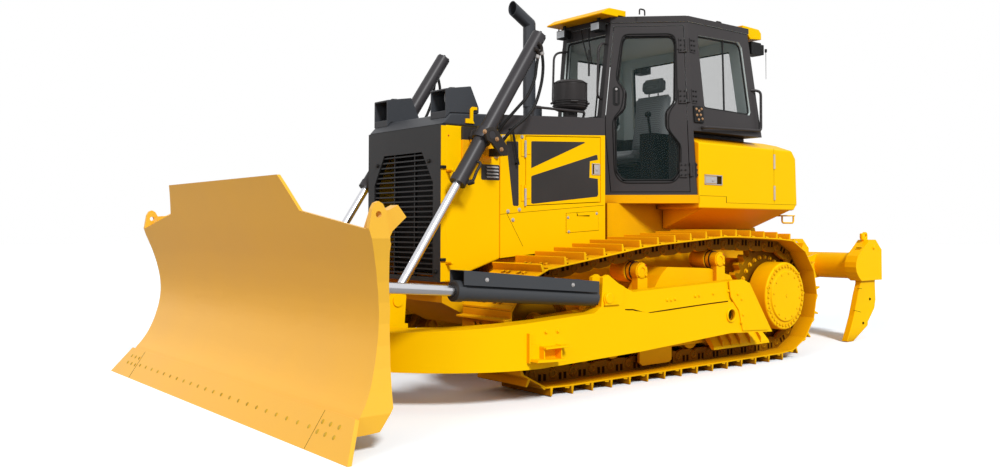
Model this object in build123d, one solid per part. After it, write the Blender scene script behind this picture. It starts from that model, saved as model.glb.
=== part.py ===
from build123d import *
import os
from math import atan2, cos, hypot, pi, radians, sin, sqrt, tan

# Crawler dozer with an angling blade on a C-frame and a three-shank ripper.
# Millimetres. +X forward, +Y to the machine's left, +Z up, ground at z = 0.
# The origin lies on the ground under the middle of the whole machine.

# ---------------------------------------------------------------- undercarriage sizes
TRACK_GAUGE = 1950.0
SHOE_WIDTH = 560.0
TRACK_PITCH = 203.2
SHOE_PLATE = 12.0
GROUSER_HEIGHT = 57.0
GROUSER_ROOT = 26.0
GROUSER_TIP = 15.0
LINK_ABOVE_PIN = 59.0
LINK_BELOW_PIN = 52.0
LINK_WAIST = 36.0
LINK_WIDTH = 36.0
LINK_SPACING = 180.0
SPROCKET_X = -1341.0
SPROCKET_PITCHES = 14
WHEELBASE = 2873.0
IDLER_PIN_RADIUS = 362.0
ROLLER_RADIUS = 98.0
ROLLER_COUNT = 7
ROLLER_TO_SPROCKET = 526.0
ROLLER_TO_IDLER = 457.0
CARRIER_RADIUS = 76.0
CARRIER_DROP = 12.0
RUN_CLEARANCE = 0.3

# Carrier rollers: place along the machine, height of the chain's pins above them.
CARRIERS = [(505.0, 1003.0), (-503.0, 1073.0)]

SPROCKET_TOOTH_HEIGHT = 25.0
SPROCKET_WIDTH = 70.0
DRIVE_NECK_RADIUS = 250.0
DRIVE_DRUM_RADIUS = 310.0
DRIVE_COVER_RADIUS = 232.0
DRIVE_CASE_RADIUS = 335.0
DRIVE_FACE_Y = TRACK_GAUGE / 2 + 293.0

FRAME_WIDTH = 280.0
FRAME_BOTTOM = 340.0
FRAME_TOP = 620.0
FRAME_REAR = -800.0
FRAME_FRONT = 1160.0
YOKE_THICKNESS = 30.0
PLATE = 25.0

# ---------------------------------------------------------------- hull, hood and nose
HULL_HALF_WIDTH = 450.0
HULL_BOTTOM = 420.0
DECK_FRONT = 1440.0
DECK_FRONT_Z = 960.0
DECK_REAR_Z = 1040.0
HOOD_HALF_WIDTH = 520.0
HOOD_WALL = 30.0
HOOD_REAR = 275.0
HOOD_FRONT = 1452.0
HOOD_BOTTOM = 1060.0
HOOD_TOP_REAR = 2170.0
HOOD_TOP_FRONT = 2105.0
ENGINE_DOOR_FRONT = 1190.0
ENGINE_DOOR_REAR = 330.0
ENGINE_DOOR_BOTTOM = 1385.0
ENGINE_DOOR_TOP = 1955.0
NOSE_FRONT = 2029.0
NOSE_BOTTOM = 800.0
NOSE_TOP = 1985.0
NOSE_PEAK = 2080.0
MASK_DEPTH = 50.0
GRILLE_HALF_WIDTH = 425.0
GRILLE_BOTTOM = 835.0
GRILLE_TOP = 1790.0
GRILLE_CORNER = 150.0
GRILLE_DEPTH = 34.0
SLAT_COUNT = 24
SLAT_HEIGHT = 11.0
GRILLE_BAR_Y = 145.0

# ---------------------------------------------------------------- cab
CAB_FLOOR = 1505.0
CAB_EAVES = 3090.0
ROOF_RISE = 60.0
CAB_ROOF = CAB_EAVES + ROOF_RISE
VISOR_RISE = 53.0
VISOR_REACH = 172.0
CAB_FENDER_TOP = 2085.0
CAB_WALL = 60.0
CAB_FRONT_LOW = 177.0
CAB_FRONT_HIGH = -10.0
CAB_NOSE_LOW = 274.0
CAB_NOSE_HIGH = 318.0
CAB_PILLAR_LOW = -470.0
CAB_PILLAR_HIGH = -500.0
CAB_REAR_LOW = -1550.0
CAB_REAR_HIGH = -1360.0
CAB_SIDE_SLOPE = 1.0
CAB_REAR_SLOPE = -0.03
CAB_TUB_HALF_WIDTH = 700.0
CAB_TUB_REAR = -1530.0
ROOF_RIM = 46.0
ROOF_STEP = 40.0
DOOR_SEAM = 6.0
# Hinges: knuckle and pin radius, half the door knuckle's length, the post knuckles' length, the
# pin line's distance past the door opening, and how far each leaf reaches from the pin.
CAB_HINGE = {"radius": 12.0, "pin": 6.0, "half": 35.0, "knuckle": 25.0, "offset": 10.0,
             "leaf": 82.0, "post": 25.0}
CAB_HINGE_HEIGHTS = (225.0, 898.0, 1365.0)
HOOD_HINGE = {"radius": 9.0, "pin": 4.5, "half": 45.0, "knuckle": 20.0, "offset": 8.0,
              "leaf": 60.0, "post": 40.0}
HOOD_HINGE_HEIGHTS = (1490.0, 1850.0)
GLASS = 8.0

# ---------------------------------------------------------------- fuel tank and fenders
TANK_HALF_WIDTH = 940.0
TANK_FRONT = -492.0
TANK_REAR = -2030.0
TANK_BOTTOM = 1385.0
TANK_TOP = 2050.0
FENDER_INNER = 706.0

# ---------------------------------------------------------------- push frame and blade
ARM_THICKNESS = 140.0
ARM_TO_SHOES = 55.0
ARM_INNER_Y = TRACK_GAUGE / 2 + SHOE_WIDTH / 2 + ARM_TO_SHOES
ARM_OUTER_Y = ARM_INNER_Y + ARM_THICKNESS
TRUNNION_X = -259.0
TRUNNION_Z = 489.0
TRUNNION_RADIUS = 60.0
NOSE_PIN_X = 3100.0
NOSE_PIN_RADIUS = 45.0
BLADE_HALF_WIDTH = 1820.0
BLADE_TIP_X = 3631.0
BLADE_TIP_HALF_WIDTH = 2000.0
BLADE_PLATE = 22.0
EDGE_TOP = (3500.0, 202.0)
EDGE_PLATE = 22.0
EDGE_HALF = 1520.0
BLADE_SHOULDER_Z = 1200.0
END_PLATE = 30.0
BLADE_WAIST = 90.0
BLADE_RIBS = (560.0, 1150.0, 1590.0)
BLADE_BACK = 3262.0
LIFTING_HOLE = (3366.0, 1280.0)
LIFTING_HOLE_RADIUS = 18.0

# ---------------------------------------------------------------- cylinders
LIFT_Y = 660.0
LIFT_BARREL_RADIUS = 60.0
LIFT_ROD_RADIUS = 32.0
LIFT_TRUNNION = (1728.0, 1906.0)
LIFT_EYE = (2524.0, 703.0)
LIFT_BARREL_ABOVE = 1013.0
LIFT_BARREL_BELOW = 442.0
ANGLE_Y = ARM_OUTER_Y - ARM_THICKNESS / 2
ANGLE_BARREL_RADIUS = 63.0
ANGLE_ROD_RADIUS = 35.0
ANGLE_PIN = (1196.0, 697.0)
ANGLE_EYE = (3128.0, 855.0)
ANGLE_REACH = 1338.0
ANGLE_REAR = 75.0
ANGLE_EYE_RADIUS = 45.0
ANGLE_PIN_RADIUS = 24.0
BARREL_WALL = 12.0
BARREL_END = 40.0
GLAND_LENGTH = 60.0
PISTON_LENGTH = 60.0

# How far each rod runs into its barrel from where it stands here.
LIFT_RETRACTION = 690.0
ANGLE_RETRACTION = 525.0
RIPPER_RETRACTION = 190.0

PIN_RADIUS = 30.0
EYE_RADIUS = 62.0
EYE_HALF = 34.0
LUG_GAP = 3.0
ANGLE_LUG_GAP = 16.0
PIN_BOSS = 12.0
ARM_STEP = 10.0
GUARD_HALF = 78.0
GUARD_PLATE = 5.0
GUARD_RISE = 72.0

# ---------------------------------------------------------------- ripper
RIPPER_PIVOT = (-2160.0, 640.0)
RIPPER_TOP_PIN = (-2120.0, 1150.0)
RIPPER_EYE = (-3090.0, 1000.0)
RIPPER_BRACKET_Y = 330.0
RIPPER_REAR = -3631.0
RIPPER_HALF_WIDTH = 970.0
RIPPER_BEAM_HALF = 775.0
POCKET_WIDTH = 135.0
CYLINDER_Y = 200.0
SHANK_BACK = -3530.0
SHANK_FRONT = -3226.0
RIPPER_BEAM = (-3320.0, 798.0)
RIPPER_BEAM_RADIUS = 143.0
SHANK_Y = 910.0
SHANK_WIDTH = 66.0
RIPPER_BARREL_RADIUS = 55.0
RIPPER_ROD_RADIUS = 28.0


# ================================================================ helpers
def slab_xz(points, y_low, y_high):
    """A plate whose outline is given as (x, z) points, from y_low to y_high."""
    face = Face(Wire.make_polygon([(x, y_low, z) for x, z in points]))
    return extrude(face, amount=y_high - y_low, dir=(0, 1, 0))


def slab_xy(points, z_low, z_high):
    """A plate whose outline is given as (x, y) points, from z_low to z_high."""
    face = Face(Wire.make_polygon([(x, y, z_low) for x, y in points]))
    return extrude(face, amount=z_high - z_low, dir=(0, 0, 1))


def slab_yz(points, x_low, x_high):
    """A plate whose outline is given as (y, z) points, from x_low to x_high."""
    face = Face(Wire.make_polygon([(x_low, y, z) for y, z in points]))
    return extrude(face, amount=x_high - x_low, dir=(1, 0, 0))


def block(x, y, z):
    """A box from its three (low, high) pairs."""
    size = [pair[1] - pair[0] for pair in (x, y, z)]
    middle = [(pair[0] + pair[1]) / 2 for pair in (x, y, z)]
    return Pos(*middle) * Box(*size)


def bar(start, end, radius):
    """A round bar between two points."""
    axis = Vector(*end) - Vector(*start)
    plane = Plane(origin=start, z_dir=axis.normalized())
    return extrude(plane * Circle(radius), amount=axis.length)


def tube(start, end, radius, bore):
    """A round tube between two points."""
    return bar(start, end, radius) - bar(start, end, bore)


def cross_bar(x, z, y_low, y_high, radius):
    """A round bar along the machine's width."""
    return bar((x, y_low, z), (x, y_high, z), radius)


def turned(profile, x, z):
    """A turned piece on a shaft along Y. The profile lists (y, radius) points."""
    face = Face(Wire.make_polygon([(0, y, radius) for y, radius in profile]))
    return Pos(x, 0, z) * revolve(face, axis=Axis.Y)


def spun(profile, x, y):
    """A turned piece standing on an upright axis. The profile lists (z, radius) points."""
    face = Face(Wire.make_polygon([(radius, 0, z) for z, radius in profile]))
    return Pos(x, y, 0) * revolve(face, axis=Axis.Z)


def curved_slab(curve, back, across, low, high):
    """A slab over a smooth curve closed by a straight-sided back, drawn in one plane."""
    line = Spline(*[across(a, b, low) for a, b in curve])
    points = [across(a, b, low) for a, b in [curve[-1], *back, curve[0]]]
    edges = [line] + [Line(first, second) for first, second in zip(points, points[1:])]
    direction = Vector(*across(0, 0, 1.0)) - Vector(*across(0, 0, 0.0))
    return extrude(Face(Wire(edges)), amount=high - low, dir=direction)


def on_plan(x, y, z):
    return (x, y, z)


def on_side(x, z, y):
    return (x, y, z)


def mirrored(shape):
    """The same shape on the other side of the machine."""
    return mirror(shape, about=Plane.XZ)


def save(name, *shapes):
    """Write one sub-part, which may be several solids that don't touch."""
    solids = [solid for shape in shapes for solid in shape.solids()]
    whole = solids[0] if len(solids) == 1 else Compound(children=solids)
    export_step(whole, f"parts/{name}.step")


def along(start, end, distance):
    """The point at a distance from start towards end, in the X-Z plane."""
    length = hypot(end[0] - start[0], end[1] - start[1])
    share = distance / length
    return (start[0] + (end[0] - start[0]) * share, start[1] + (end[1] - start[1]) * share)


LIFT_TOP = along(LIFT_TRUNNION, LIFT_EYE, -LIFT_BARREL_ABOVE)
LIFT_GLAND = along(LIFT_TRUNNION, LIFT_EYE, LIFT_BARREL_BELOW)
ANGLE_GLAND = along(ANGLE_PIN, ANGLE_EYE, ANGLE_REACH)


# ================================================================ undercarriage
TRACK_Y = TRACK_GAUGE / 2
SHOE_TOP = LINK_ABOVE_PIN + SHOE_PLATE
PIN_HEIGHT = SHOE_TOP + GROUSER_HEIGHT
SPROCKET_PIN_RADIUS = TRACK_PITCH / 2 / sin(pi / SPROCKET_PITCHES)
SPROCKET_Z = PIN_HEIGHT + SPROCKET_PIN_RADIUS
IDLER_X = SPROCKET_X + WHEELBASE
IDLER_Z = PIN_HEIGHT + IDLER_PIN_RADIUS
IDLER_TREAD = sqrt(IDLER_PIN_RADIUS**2 - (TRACK_PITCH / 2) ** 2) - LINK_BELOW_PIN - RUN_CLEARANCE
ROLLER_Z = PIN_HEIGHT + LINK_BELOW_PIN + ROLLER_RADIUS + RUN_CLEARANCE


def tangent_angle(centre, radius, point, side):
    """The angle on a circle at which a line to an outside point leaves it."""
    away = atan2(point[1] - centre[1], point[0] - centre[0])
    reach = hypot(point[0] - centre[0], point[1] - centre[1])
    return away + side * atan2(sqrt(reach**2 - radius**2), radius)


def on_circle(centre, radius, angle):
    return (centre[0] + radius * cos(angle), centre[1] + radius * sin(angle))


def chain_pins():
    """The places of the chain's pins: round the idler, over the carriers, round the sprocket."""
    idler = (IDLER_X, IDLER_Z)
    sprocket = (SPROCKET_X, SPROCKET_Z)
    idler_leaves = tangent_angle(idler, IDLER_PIN_RADIUS, CARRIERS[0], -1) % (2 * pi)
    sprocket_meets = tangent_angle(sprocket, SPROCKET_PIN_RADIUS, CARRIERS[1], 1) % (2 * pi)
    legs = [
        ("line", (SPROCKET_X, PIN_HEIGHT), (IDLER_X, PIN_HEIGHT)),
        ("arc", idler, IDLER_PIN_RADIUS, -pi / 2, idler_leaves),
        ("line", on_circle(idler, IDLER_PIN_RADIUS, idler_leaves), CARRIERS[0]),
        ("line", CARRIERS[0], CARRIERS[1]),
        ("line", CARRIERS[1], on_circle(sprocket, SPROCKET_PIN_RADIUS, sprocket_meets)),
        ("arc", sprocket, SPROCKET_PIN_RADIUS, sprocket_meets, 3 * pi / 2),
    ]
    lengths = []
    for leg in legs:
        if leg[0] == "line":
            lengths.append(hypot(leg[2][0] - leg[1][0], leg[2][1] - leg[1][1]))
        else:
            lengths.append(leg[2] * (leg[4] - leg[3]))
    loop = sum(lengths)
    count = round(loop / TRACK_PITCH)
    pins = []
    for index in range(count):
        travel = (index + 0.5) * loop / count
        for leg, length in zip(legs, lengths):
            if travel <= length:
                break
            travel -= length
        if leg[0] == "line":
            pins.append(along(leg[1], leg[2], travel))
        else:
            pins.append(on_circle(leg[1], leg[2], leg[3] + travel / leg[2]))
    return pins


def chain_frames(pins):
    """For each link: its first pin, its unit direction and its outward unit normal."""
    frames = []
    for index, pin in enumerate(pins):
        after = pins[(index + 1) % len(pins)]
        length = hypot(after[0] - pin[0], after[1] - pin[1])
        run = ((after[0] - pin[0]) / length, (after[1] - pin[1]) / length)
        frames.append((pin, run, (run[1], -run[0]), length))
    return frames


def link_point(frame, share, height):
    """A point beside one link, at a share of its length and a height off its pin line."""
    pin, run, out, length = frame
    return (
        pin[0] + run[0] * share * length + out[0] * height,
        pin[1] + run[1] * share * length + out[1] * height,
    )


def mitre(before, frame, height):
    """The corner that two neighbouring links share at a height off their pin lines."""
    turn = (before[2][0] * frame[2][0]) + (before[2][1] * frame[2][1])
    share = height / (1 + turn)
    pin = frame[0]
    return (
        pin[0] + (before[2][0] + frame[2][0]) * share,
        pin[1] + (before[2][1] + frame[2][1]) * share,
    )


def closed_belt(outer, inner, y_low, y_high):
    """The ring between two closed (x, z) outlines, as wide as given."""
    return slab_xz(outer, y_low, y_high) - slab_xz(inner, y_low, y_high)


def track_loop():
    """One crawler track: shoes with their grousers on two rows of chain links."""
    frames = chain_frames(chain_pins())
    root = GROUSER_ROOT / TRACK_PITCH / 2
    tip = GROUSER_TIP / TRACK_PITCH / 2
    grouser = 0.80
    shoe_out, shoe_in, link_out, link_in = [], [], [], []
    for index, frame in enumerate(frames):
        before = frames[index - 1]
        shoe_out.append(mitre(before, frame, SHOE_TOP))
        for share, height in [
            (grouser - root, SHOE_TOP),
            (grouser - tip, SHOE_TOP + GROUSER_HEIGHT),
            (grouser + tip, SHOE_TOP + GROUSER_HEIGHT),
            (grouser + root, SHOE_TOP),
        ]:
            shoe_out.append(link_point(frame, share, height))
        shoe_in.append(mitre(before, frame, LINK_ABOVE_PIN))
        link_out.append(mitre(before, frame, LINK_ABOVE_PIN + SHOE_PLATE / 4))
        link_in.append(mitre(before, frame, -LINK_WAIST))
        link_in.append(link_point(frame, 0.25, -LINK_BELOW_PIN))
        link_in.append(link_point(frame, 0.75, -LINK_BELOW_PIN))
    belt = closed_belt(shoe_out, shoe_in, TRACK_Y - SHOE_WIDTH / 2, TRACK_Y + SHOE_WIDTH / 2)
    for side in (-1, 1):
        middle = TRACK_Y + side * LINK_SPACING / 2
        belt += closed_belt(link_out, link_in, middle - LINK_WIDTH / 2, middle + LINK_WIDTH / 2)
    return belt


def sprocket():
    """The toothed ring that drives the chain, two teeth to each pitch."""
    teeth = SPROCKET_PITCHES * 2
    outline = []
    for index in range(teeth):
        angle = 2 * pi * index / teeth
        step = 2 * pi / teeth
        for share, height in [(-0.30, -33.0), (-0.13, 20.0), (0.13, 20.0), (0.30, -33.0)]:
            radius = SPROCKET_PIN_RADIUS + height * SPROCKET_TOOTH_HEIGHT / 25.0
            outline.append(on_circle((SPROCKET_X, SPROCKET_Z), radius, angle + share * step))
    low = TRACK_Y - SPROCKET_WIDTH / 2
    ring = slab_xz(outline, low, low + SPROCKET_WIDTH)
    return ring - cross_bar(SPROCKET_X, SPROCKET_Z, low, low + SPROCKET_WIDTH,
                            DRIVE_NECK_RADIUS + RUN_CLEARANCE)


def final_drive():
    """The reduction case beside the hull, its neck through the sprocket and the outer drum."""
    inner = TRACK_Y - SPROCKET_WIDTH / 2 - 60.0
    drum = TRACK_Y + SPROCKET_WIDTH / 2 + 30.0
    return turned(
        [
            (HULL_HALF_WIDTH, 0),
            (HULL_HALF_WIDTH, DRIVE_CASE_RADIUS),
            (inner - 150.0, DRIVE_CASE_RADIUS),
            (inner - 90.0, DRIVE_NECK_RADIUS),
            (drum, DRIVE_NECK_RADIUS),
            (drum, DRIVE_DRUM_RADIUS - 30.0),
            (drum + 24.0, DRIVE_DRUM_RADIUS),
            (DRIVE_FACE_Y - 24.0, DRIVE_DRUM_RADIUS),
            (DRIVE_FACE_Y - 14.0, DRIVE_DRUM_RADIUS - 10.0),
            (DRIVE_FACE_Y - 14.0, DRIVE_COVER_RADIUS + 6.0),
            (DRIVE_FACE_Y, DRIVE_COVER_RADIUS),
            (DRIVE_FACE_Y, 0),
        ],
        SPROCKET_X,
        SPROCKET_Z,
    )


def idler():
    """The front wheel that the chain turns round, with its guide flange and shaft."""
    tread = LINK_SPACING / 2 + LINK_WIDTH / 2
    flange = LINK_SPACING / 2 - LINK_WIDTH / 2 - 6.0
    shaft = FRAME_WIDTH / 2
    half = [
        (0, 0),
        (0, IDLER_TREAD + 22.0),
        (flange - 10.0, IDLER_TREAD + 22.0),
        (flange, IDLER_TREAD),
        (tread - 8.0, IDLER_TREAD),
        (tread - 8.0, IDLER_TREAD - 40.0),
        (40.0, IDLER_TREAD - 60.0),
        (40.0, 95.0),
        (shaft - YOKE_THICKNESS - 4.0, 80.0),
        (shaft - YOKE_THICKNESS - 4.0, 40.0),
        (shaft - RUN_CLEARANCE, 40.0),
        (shaft - RUN_CLEARANCE, 0),
    ]
    wheel = turned(half, IDLER_X, IDLER_Z)
    return Pos(0, TRACK_Y, 0) * (wheel + mirrored(wheel))


def roller(x, z, radius, shaft):
    """A double-flanged roller on its shaft."""
    tread = LINK_SPACING / 2 + LINK_WIDTH / 2
    flange = LINK_SPACING / 2 - LINK_WIDTH / 2 - 6.0
    half = [
        (0, 0),
        (0, radius + 14.0),
        (flange, radius + 14.0),
        (flange, radius),
        (tread, radius),
        (tread, 34.0),
        (shaft, 34.0),
        (shaft, 0),
    ]
    wheel = turned(half, x, z)
    return Pos(0, TRACK_Y, 0) * (wheel + mirrored(wheel))


def roller_places():
    """Track rollers along the ground and carrier rollers under the upper run, as (x, z, radius)."""
    first, last = SPROCKET_X + ROLLER_TO_SPROCKET, IDLER_X - ROLLER_TO_IDLER
    places = [
        (first + (last - first) * index / (ROLLER_COUNT - 1), ROLLER_Z, ROLLER_RADIUS)
        for index in range(ROLLER_COUNT)
    ]
    for x, pin_z in CARRIERS:
        places.append((x, pin_z - LINK_BELOW_PIN - CARRIER_DROP - CARRIER_RADIUS, CARRIER_RADIUS))
    return places


def track_frame():
    """The long box beam that carries the rollers, with the idler's yoke and the recoil cover."""
    low = TRACK_Y - FRAME_WIDTH / 2
    high = TRACK_Y + FRAME_WIDTH / 2
    frame = slab_xz(
        [
            (FRAME_REAR, FRAME_BOTTOM + 70.0),
            (FRAME_REAR + 60.0, FRAME_BOTTOM + 70.0),
            (FRAME_REAR + 60.0, FRAME_TOP - 180.0),
            (FRAME_FRONT, FRAME_TOP - 180.0),
            (FRAME_FRONT, FRAME_TOP),
            (390.0, FRAME_TOP),
            (230.0, 820.0),
            (150.0, 885.0),
            (-400.0, 860.0),
            (-700.0, 790.0),
            (FRAME_REAR, FRAME_TOP + 40.0),
        ],
        low,
        high,
    )
    for side in (low, high - PLATE):
        frame += slab_xz(
            [
                (FRAME_REAR - 150.0, FRAME_TOP - 180.0),
                (FRAME_REAR - 150.0, 255.0),
                (FRAME_REAR + 20.0, 225.0),
                (1020.0, 225.0),
                (1090.0, 300.0),
                (FRAME_FRONT, FRAME_TOP - 180.0 + 5.0),
                (FRAME_REAR + 20.0, FRAME_TOP - 180.0 + 5.0),
            ],
            side,
            side + PLATE,
        )
    for side in (low, high - YOKE_THICKNESS):
        frame += slab_xz(
            [
                (FRAME_FRONT - 10.0, 440.0),
                (IDLER_X + 80.0, IDLER_Z - 75.0),
                (IDLER_X + 80.0, IDLER_Z + 75.0),
                (FRAME_FRONT - 10.0, 590.0),
            ],
            side,
            side + YOKE_THICKNESS,
        )
    shaft_room = TRACK_Y - FRAME_WIDTH / 2 - 10.0
    frame -= cross_bar(IDLER_X, IDLER_Z, shaft_room, shaft_room + FRAME_WIDTH + 20.0,
                       40.0 + RUN_CLEARANCE)
    posts = roller_places()[ROLLER_COUNT:]
    for x, z, radius in posts:
        frame += block((x - 68.0, x + 48.0), (high - PLATE, high + 38.0), (FRAME_TOP - 100.0, z - 55.0))
        frame += block((x - 48.0, x + 48.0), (high - PLATE, high + 38.0), (z - 60.0, z))
        frame += cross_bar(x, z, high - PLATE, high + 38.0, 70.0)
    frame += slab_xz([(514.0, 235.0), (125.0, 235.0), (125.0, 125.0), (160.0, 105.0), (480.0, 105.0),
                      (514.0, 130.0)], high - 1.0, high + 22.0)
    guard = slab_yz([(high - 1.0, 345.0), (high - 1.0, 310.0), (high + 108.0, 176.0),
                     (high + 134.0, 176.0), (high + 134.0, 200.0), (high + 40.0, 345.0)], -1120.0, -290.0)
    frame += guard - slab_xz([(-1000.0, 400.0), (-1130.0, 400.0), (-1130.0, 150.0), (-1100.0, 150.0)],
                             low, high + 200.0)
    for x, z, radius in roller_places():
        frame -= cross_bar(x, z, low - 1.0, high + 1.0, 34.0 + RUN_CLEARANCE)
    frame += cross_bar(TRUNNION_X, TRUNNION_Z, high - 5.0, ARM_INNER_Y - 20.0,
                       TRUNNION_RADIUS + 45.0)
    frame += cross_bar(TRUNNION_X, TRUNNION_Z, high - 5.0, ARM_OUTER_Y - 25.0, TRUNNION_RADIUS)
    return frame


# ================================================================ hinges
def hinge(plane, size):
    """A butt hinge as its door half and its fixed half, which carries the pin. The plane lies on
    the pin, with X from the door to the post, Y along the pin and Z out of the surface."""
    radius, half, leaf = size["radius"], size["half"], size["leaf"]
    foot = -radius - RUN_CLEARANCE
    end = half + size["knuckle"]

    def piece(x, y, z):
        return plane * block(x, y, z)

    def round_piece(y_low, y_high, r):
        start = plane.from_local_coords(Vector(0, y_low, 0))
        stop = plane.from_local_coords(Vector(0, y_high, 0))
        return bar(tuple(start), tuple(stop), r)

    door = round_piece(-half, half, radius)
    door += piece((-leaf, 0.0), (-half, half), (foot + 1.0, foot + radius * 0.6))
    door += piece((-leaf, -size["offset"] - DOOR_SEAM - 1.0), (-half, half), (foot - 1.0, foot + 2.0))
    door -= round_piece(-half - 1.0, half + 1.0, size["pin"] + RUN_CLEARANCE)
    post = round_piece(-end, end, size["pin"])
    clear = radius + 1.5
    post += piece((clear, size["post"]), (-end, end), (foot - 1.0, foot + radius * 0.6))
    for low, high in [(-end, -half - RUN_CLEARANCE), (half + RUN_CLEARANCE, end)]:
        post += round_piece(low, high, radius)
        post += piece((0.0, clear + 1.0), (low, high), (foot + 1.0, foot + radius * 0.6))
    return door, post


# ================================================================ hull and hood
def hood_top(x):
    """The height of the sloping hood line at a place along the machine."""
    share = (x - HOOD_REAR) / (HOOD_FRONT - HOOD_REAR)
    return HOOD_TOP_REAR + (HOOD_TOP_FRONT - HOOD_TOP_REAR) * share


def main_frame():
    """The welded hull: belly, steering case, cross beams and the platform under the cab."""
    hull = slab_xz(
        [
            (-1960.0, 700.0),
            (-1820.0, HULL_BOTTOM),
            (1500.0, HULL_BOTTOM),
            (1960.0, 640.0),
            (1960.0, NOSE_BOTTOM - RUN_CLEARANCE),
            (1480.0, NOSE_BOTTOM - RUN_CLEARANCE),
            (DECK_FRONT, DECK_FRONT_Z),
            (CAB_FRONT_LOW, DECK_REAR_Z),
            (CAB_FRONT_LOW, CAB_FLOOR - 75.0),
            (CAB_PILLAR_LOW, CAB_FLOOR - 75.0),
            (CAB_PILLAR_LOW, TANK_BOTTOM - RUN_CLEARANCE),
            (-1960.0, TANK_BOTTOM - RUN_CLEARANCE),
        ],
        -HULL_HALF_WIDTH,
        HULL_HALF_WIDTH,
    )
    reach = TRACK_Y - FRAME_WIDTH / 2 - RUN_CLEARANCE
    hull += block((860.0, 1000.0), (-reach, reach), (FRAME_TOP - 175.0, FRAME_TOP - 30.0))
    hull += slab_xy(
        [
            (CAB_FRONT_LOW, CAB_NOSE_LOW + 30.0),
            (CAB_PILLAR_LOW, 950.0),
            (CAB_PILLAR_LOW, -950.0),
            (CAB_FRONT_LOW, -CAB_NOSE_LOW - 30.0),
        ],
        CAB_FLOOR - 75.0,
        CAB_FLOOR - RUN_CLEARANCE,
    )
    for side in (-1, 1):
        middle = side * RIPPER_BRACKET_Y
        hull += slab_xz(ripper_bracket_outline(), middle - PLATE, middle + PLATE)
    reach = RIPPER_BRACKET_Y + PLATE
    hull -= cross_bar(*RIPPER_PIVOT, -reach, reach, PIN_RADIUS)
    hull += cross_bar(*RIPPER_TOP_PIN, -reach, reach, PIN_RADIUS)
    return hull


def ripper_bracket_outline():
    """The rear plates that carry the ripper's pivot below and its cylinders above."""
    return [
        (-1950.0, 560.0),
        (RIPPER_PIVOT[0] - 70.0, 560.0),
        (RIPPER_PIVOT[0] - 70.0, 720.0),
        (RIPPER_TOP_PIN[0] - 60.0, RIPPER_TOP_PIN[1] - 40.0),
        (RIPPER_TOP_PIN[0] - 20.0, RIPPER_TOP_PIN[1] + 65.0),
        (-1950.0, RIPPER_TOP_PIN[1] + 65.0),
    ]


def hull_deck(x):
    """The height of the hull's deck under the engine at a place along the machine."""
    share = (x - CAB_FRONT_LOW) / (DECK_FRONT - CAB_FRONT_LOW)
    return DECK_REAR_Z + (DECK_FRONT_Z - DECK_REAR_Z) * share


def engine_block():
    """The engine as one plain mass at its real place."""
    low, high = 420.0, 1380.0
    return slab_xz(
        [(low, hull_deck(low) + RUN_CLEARANCE), (high, hull_deck(high) + RUN_CLEARANCE),
         (high, 1800.0), (1100.0, 1860.0), (low, 1860.0)],
        -260.0,
        260.0,
    )


def radiator_core():
    """The finned core behind the grille."""
    return block((1700.0, 1850.0), (-400.0, 400.0), (NOSE_BOTTOM + 50.0 + RUN_CLEARANCE, 1880.0))


def engine_door_outline(gap):
    """The side opening of the hood as (x, z) points, drawn in by a gap."""
    return [
        (ENGINE_DOOR_FRONT - gap, ENGINE_DOOR_BOTTOM + gap),
        (ENGINE_DOOR_FRONT - gap, ENGINE_DOOR_TOP - gap),
        (ENGINE_DOOR_REAR + gap, ENGINE_DOOR_TOP + 45.0 - gap),
        (ENGINE_DOOR_REAR + gap, ENGINE_DOOR_BOTTOM + 45.0 + gap),
    ]


def hood():
    """The engine hood: two sides and a top over the engine, open under and in front."""
    def arch(inset):
        return [
            (HOOD_REAR, HOOD_BOTTOM),
            (HOOD_FRONT, HOOD_BOTTOM - 90.0),
            (HOOD_FRONT, HOOD_TOP_FRONT - inset),
            (HOOD_REAR, HOOD_TOP_REAR - inset),
        ]

    shell = slab_xz(arch(0.0), -HOOD_HALF_WIDTH, HOOD_HALF_WIDTH)
    shell -= slab_xz(
        [
            (HOOD_REAR + HOOD_WALL, 900.0),
            (HOOD_FRONT + 10.0, 900.0),
            (HOOD_FRONT + 10.0, HOOD_TOP_FRONT - HOOD_WALL),
            (HOOD_REAR + HOOD_WALL, HOOD_TOP_REAR - HOOD_WALL),
        ],
        -HOOD_HALF_WIDTH + HOOD_WALL,
        HOOD_HALF_WIDTH - HOOD_WALL,
    )
    for side in (-1, 1):
        low, high = sorted((side * (HOOD_HALF_WIDTH - HOOD_WALL - 1), side * (HOOD_HALF_WIDTH + 1)))
        shell -= slab_xz(engine_door_outline(0.0), low, high)
    for plane in engine_door_hinges():
        leaf = hinge(plane, HOOD_HINGE)[1]
        shell += [leaf, mirrored(leaf)]
    return shell


def engine_door_hinges():
    """Planes at the left engine door's hinges, ahead of its front edge."""
    y = HOOD_HALF_WIDTH + HOOD_HINGE["radius"] + RUN_CLEARANCE
    x = ENGINE_DOOR_FRONT + HOOD_HINGE["offset"]
    return [Plane(origin=(x, y, z), x_dir=(1, 0, 0), z_dir=(0, 1, 0)) for z in HOOD_HINGE_HEIGHTS]


def engine_door():
    """The left side door of the hood, hinged at its front edge."""
    outline = engine_door_outline(DOOR_SEAM)
    door = slab_xz(outline, HOOD_HALF_WIDTH - HOOD_WALL, HOOD_HALF_WIDTH)
    for plane in engine_door_hinges():
        door += hinge(plane, HOOD_HINGE)[0]
    return door


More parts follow.
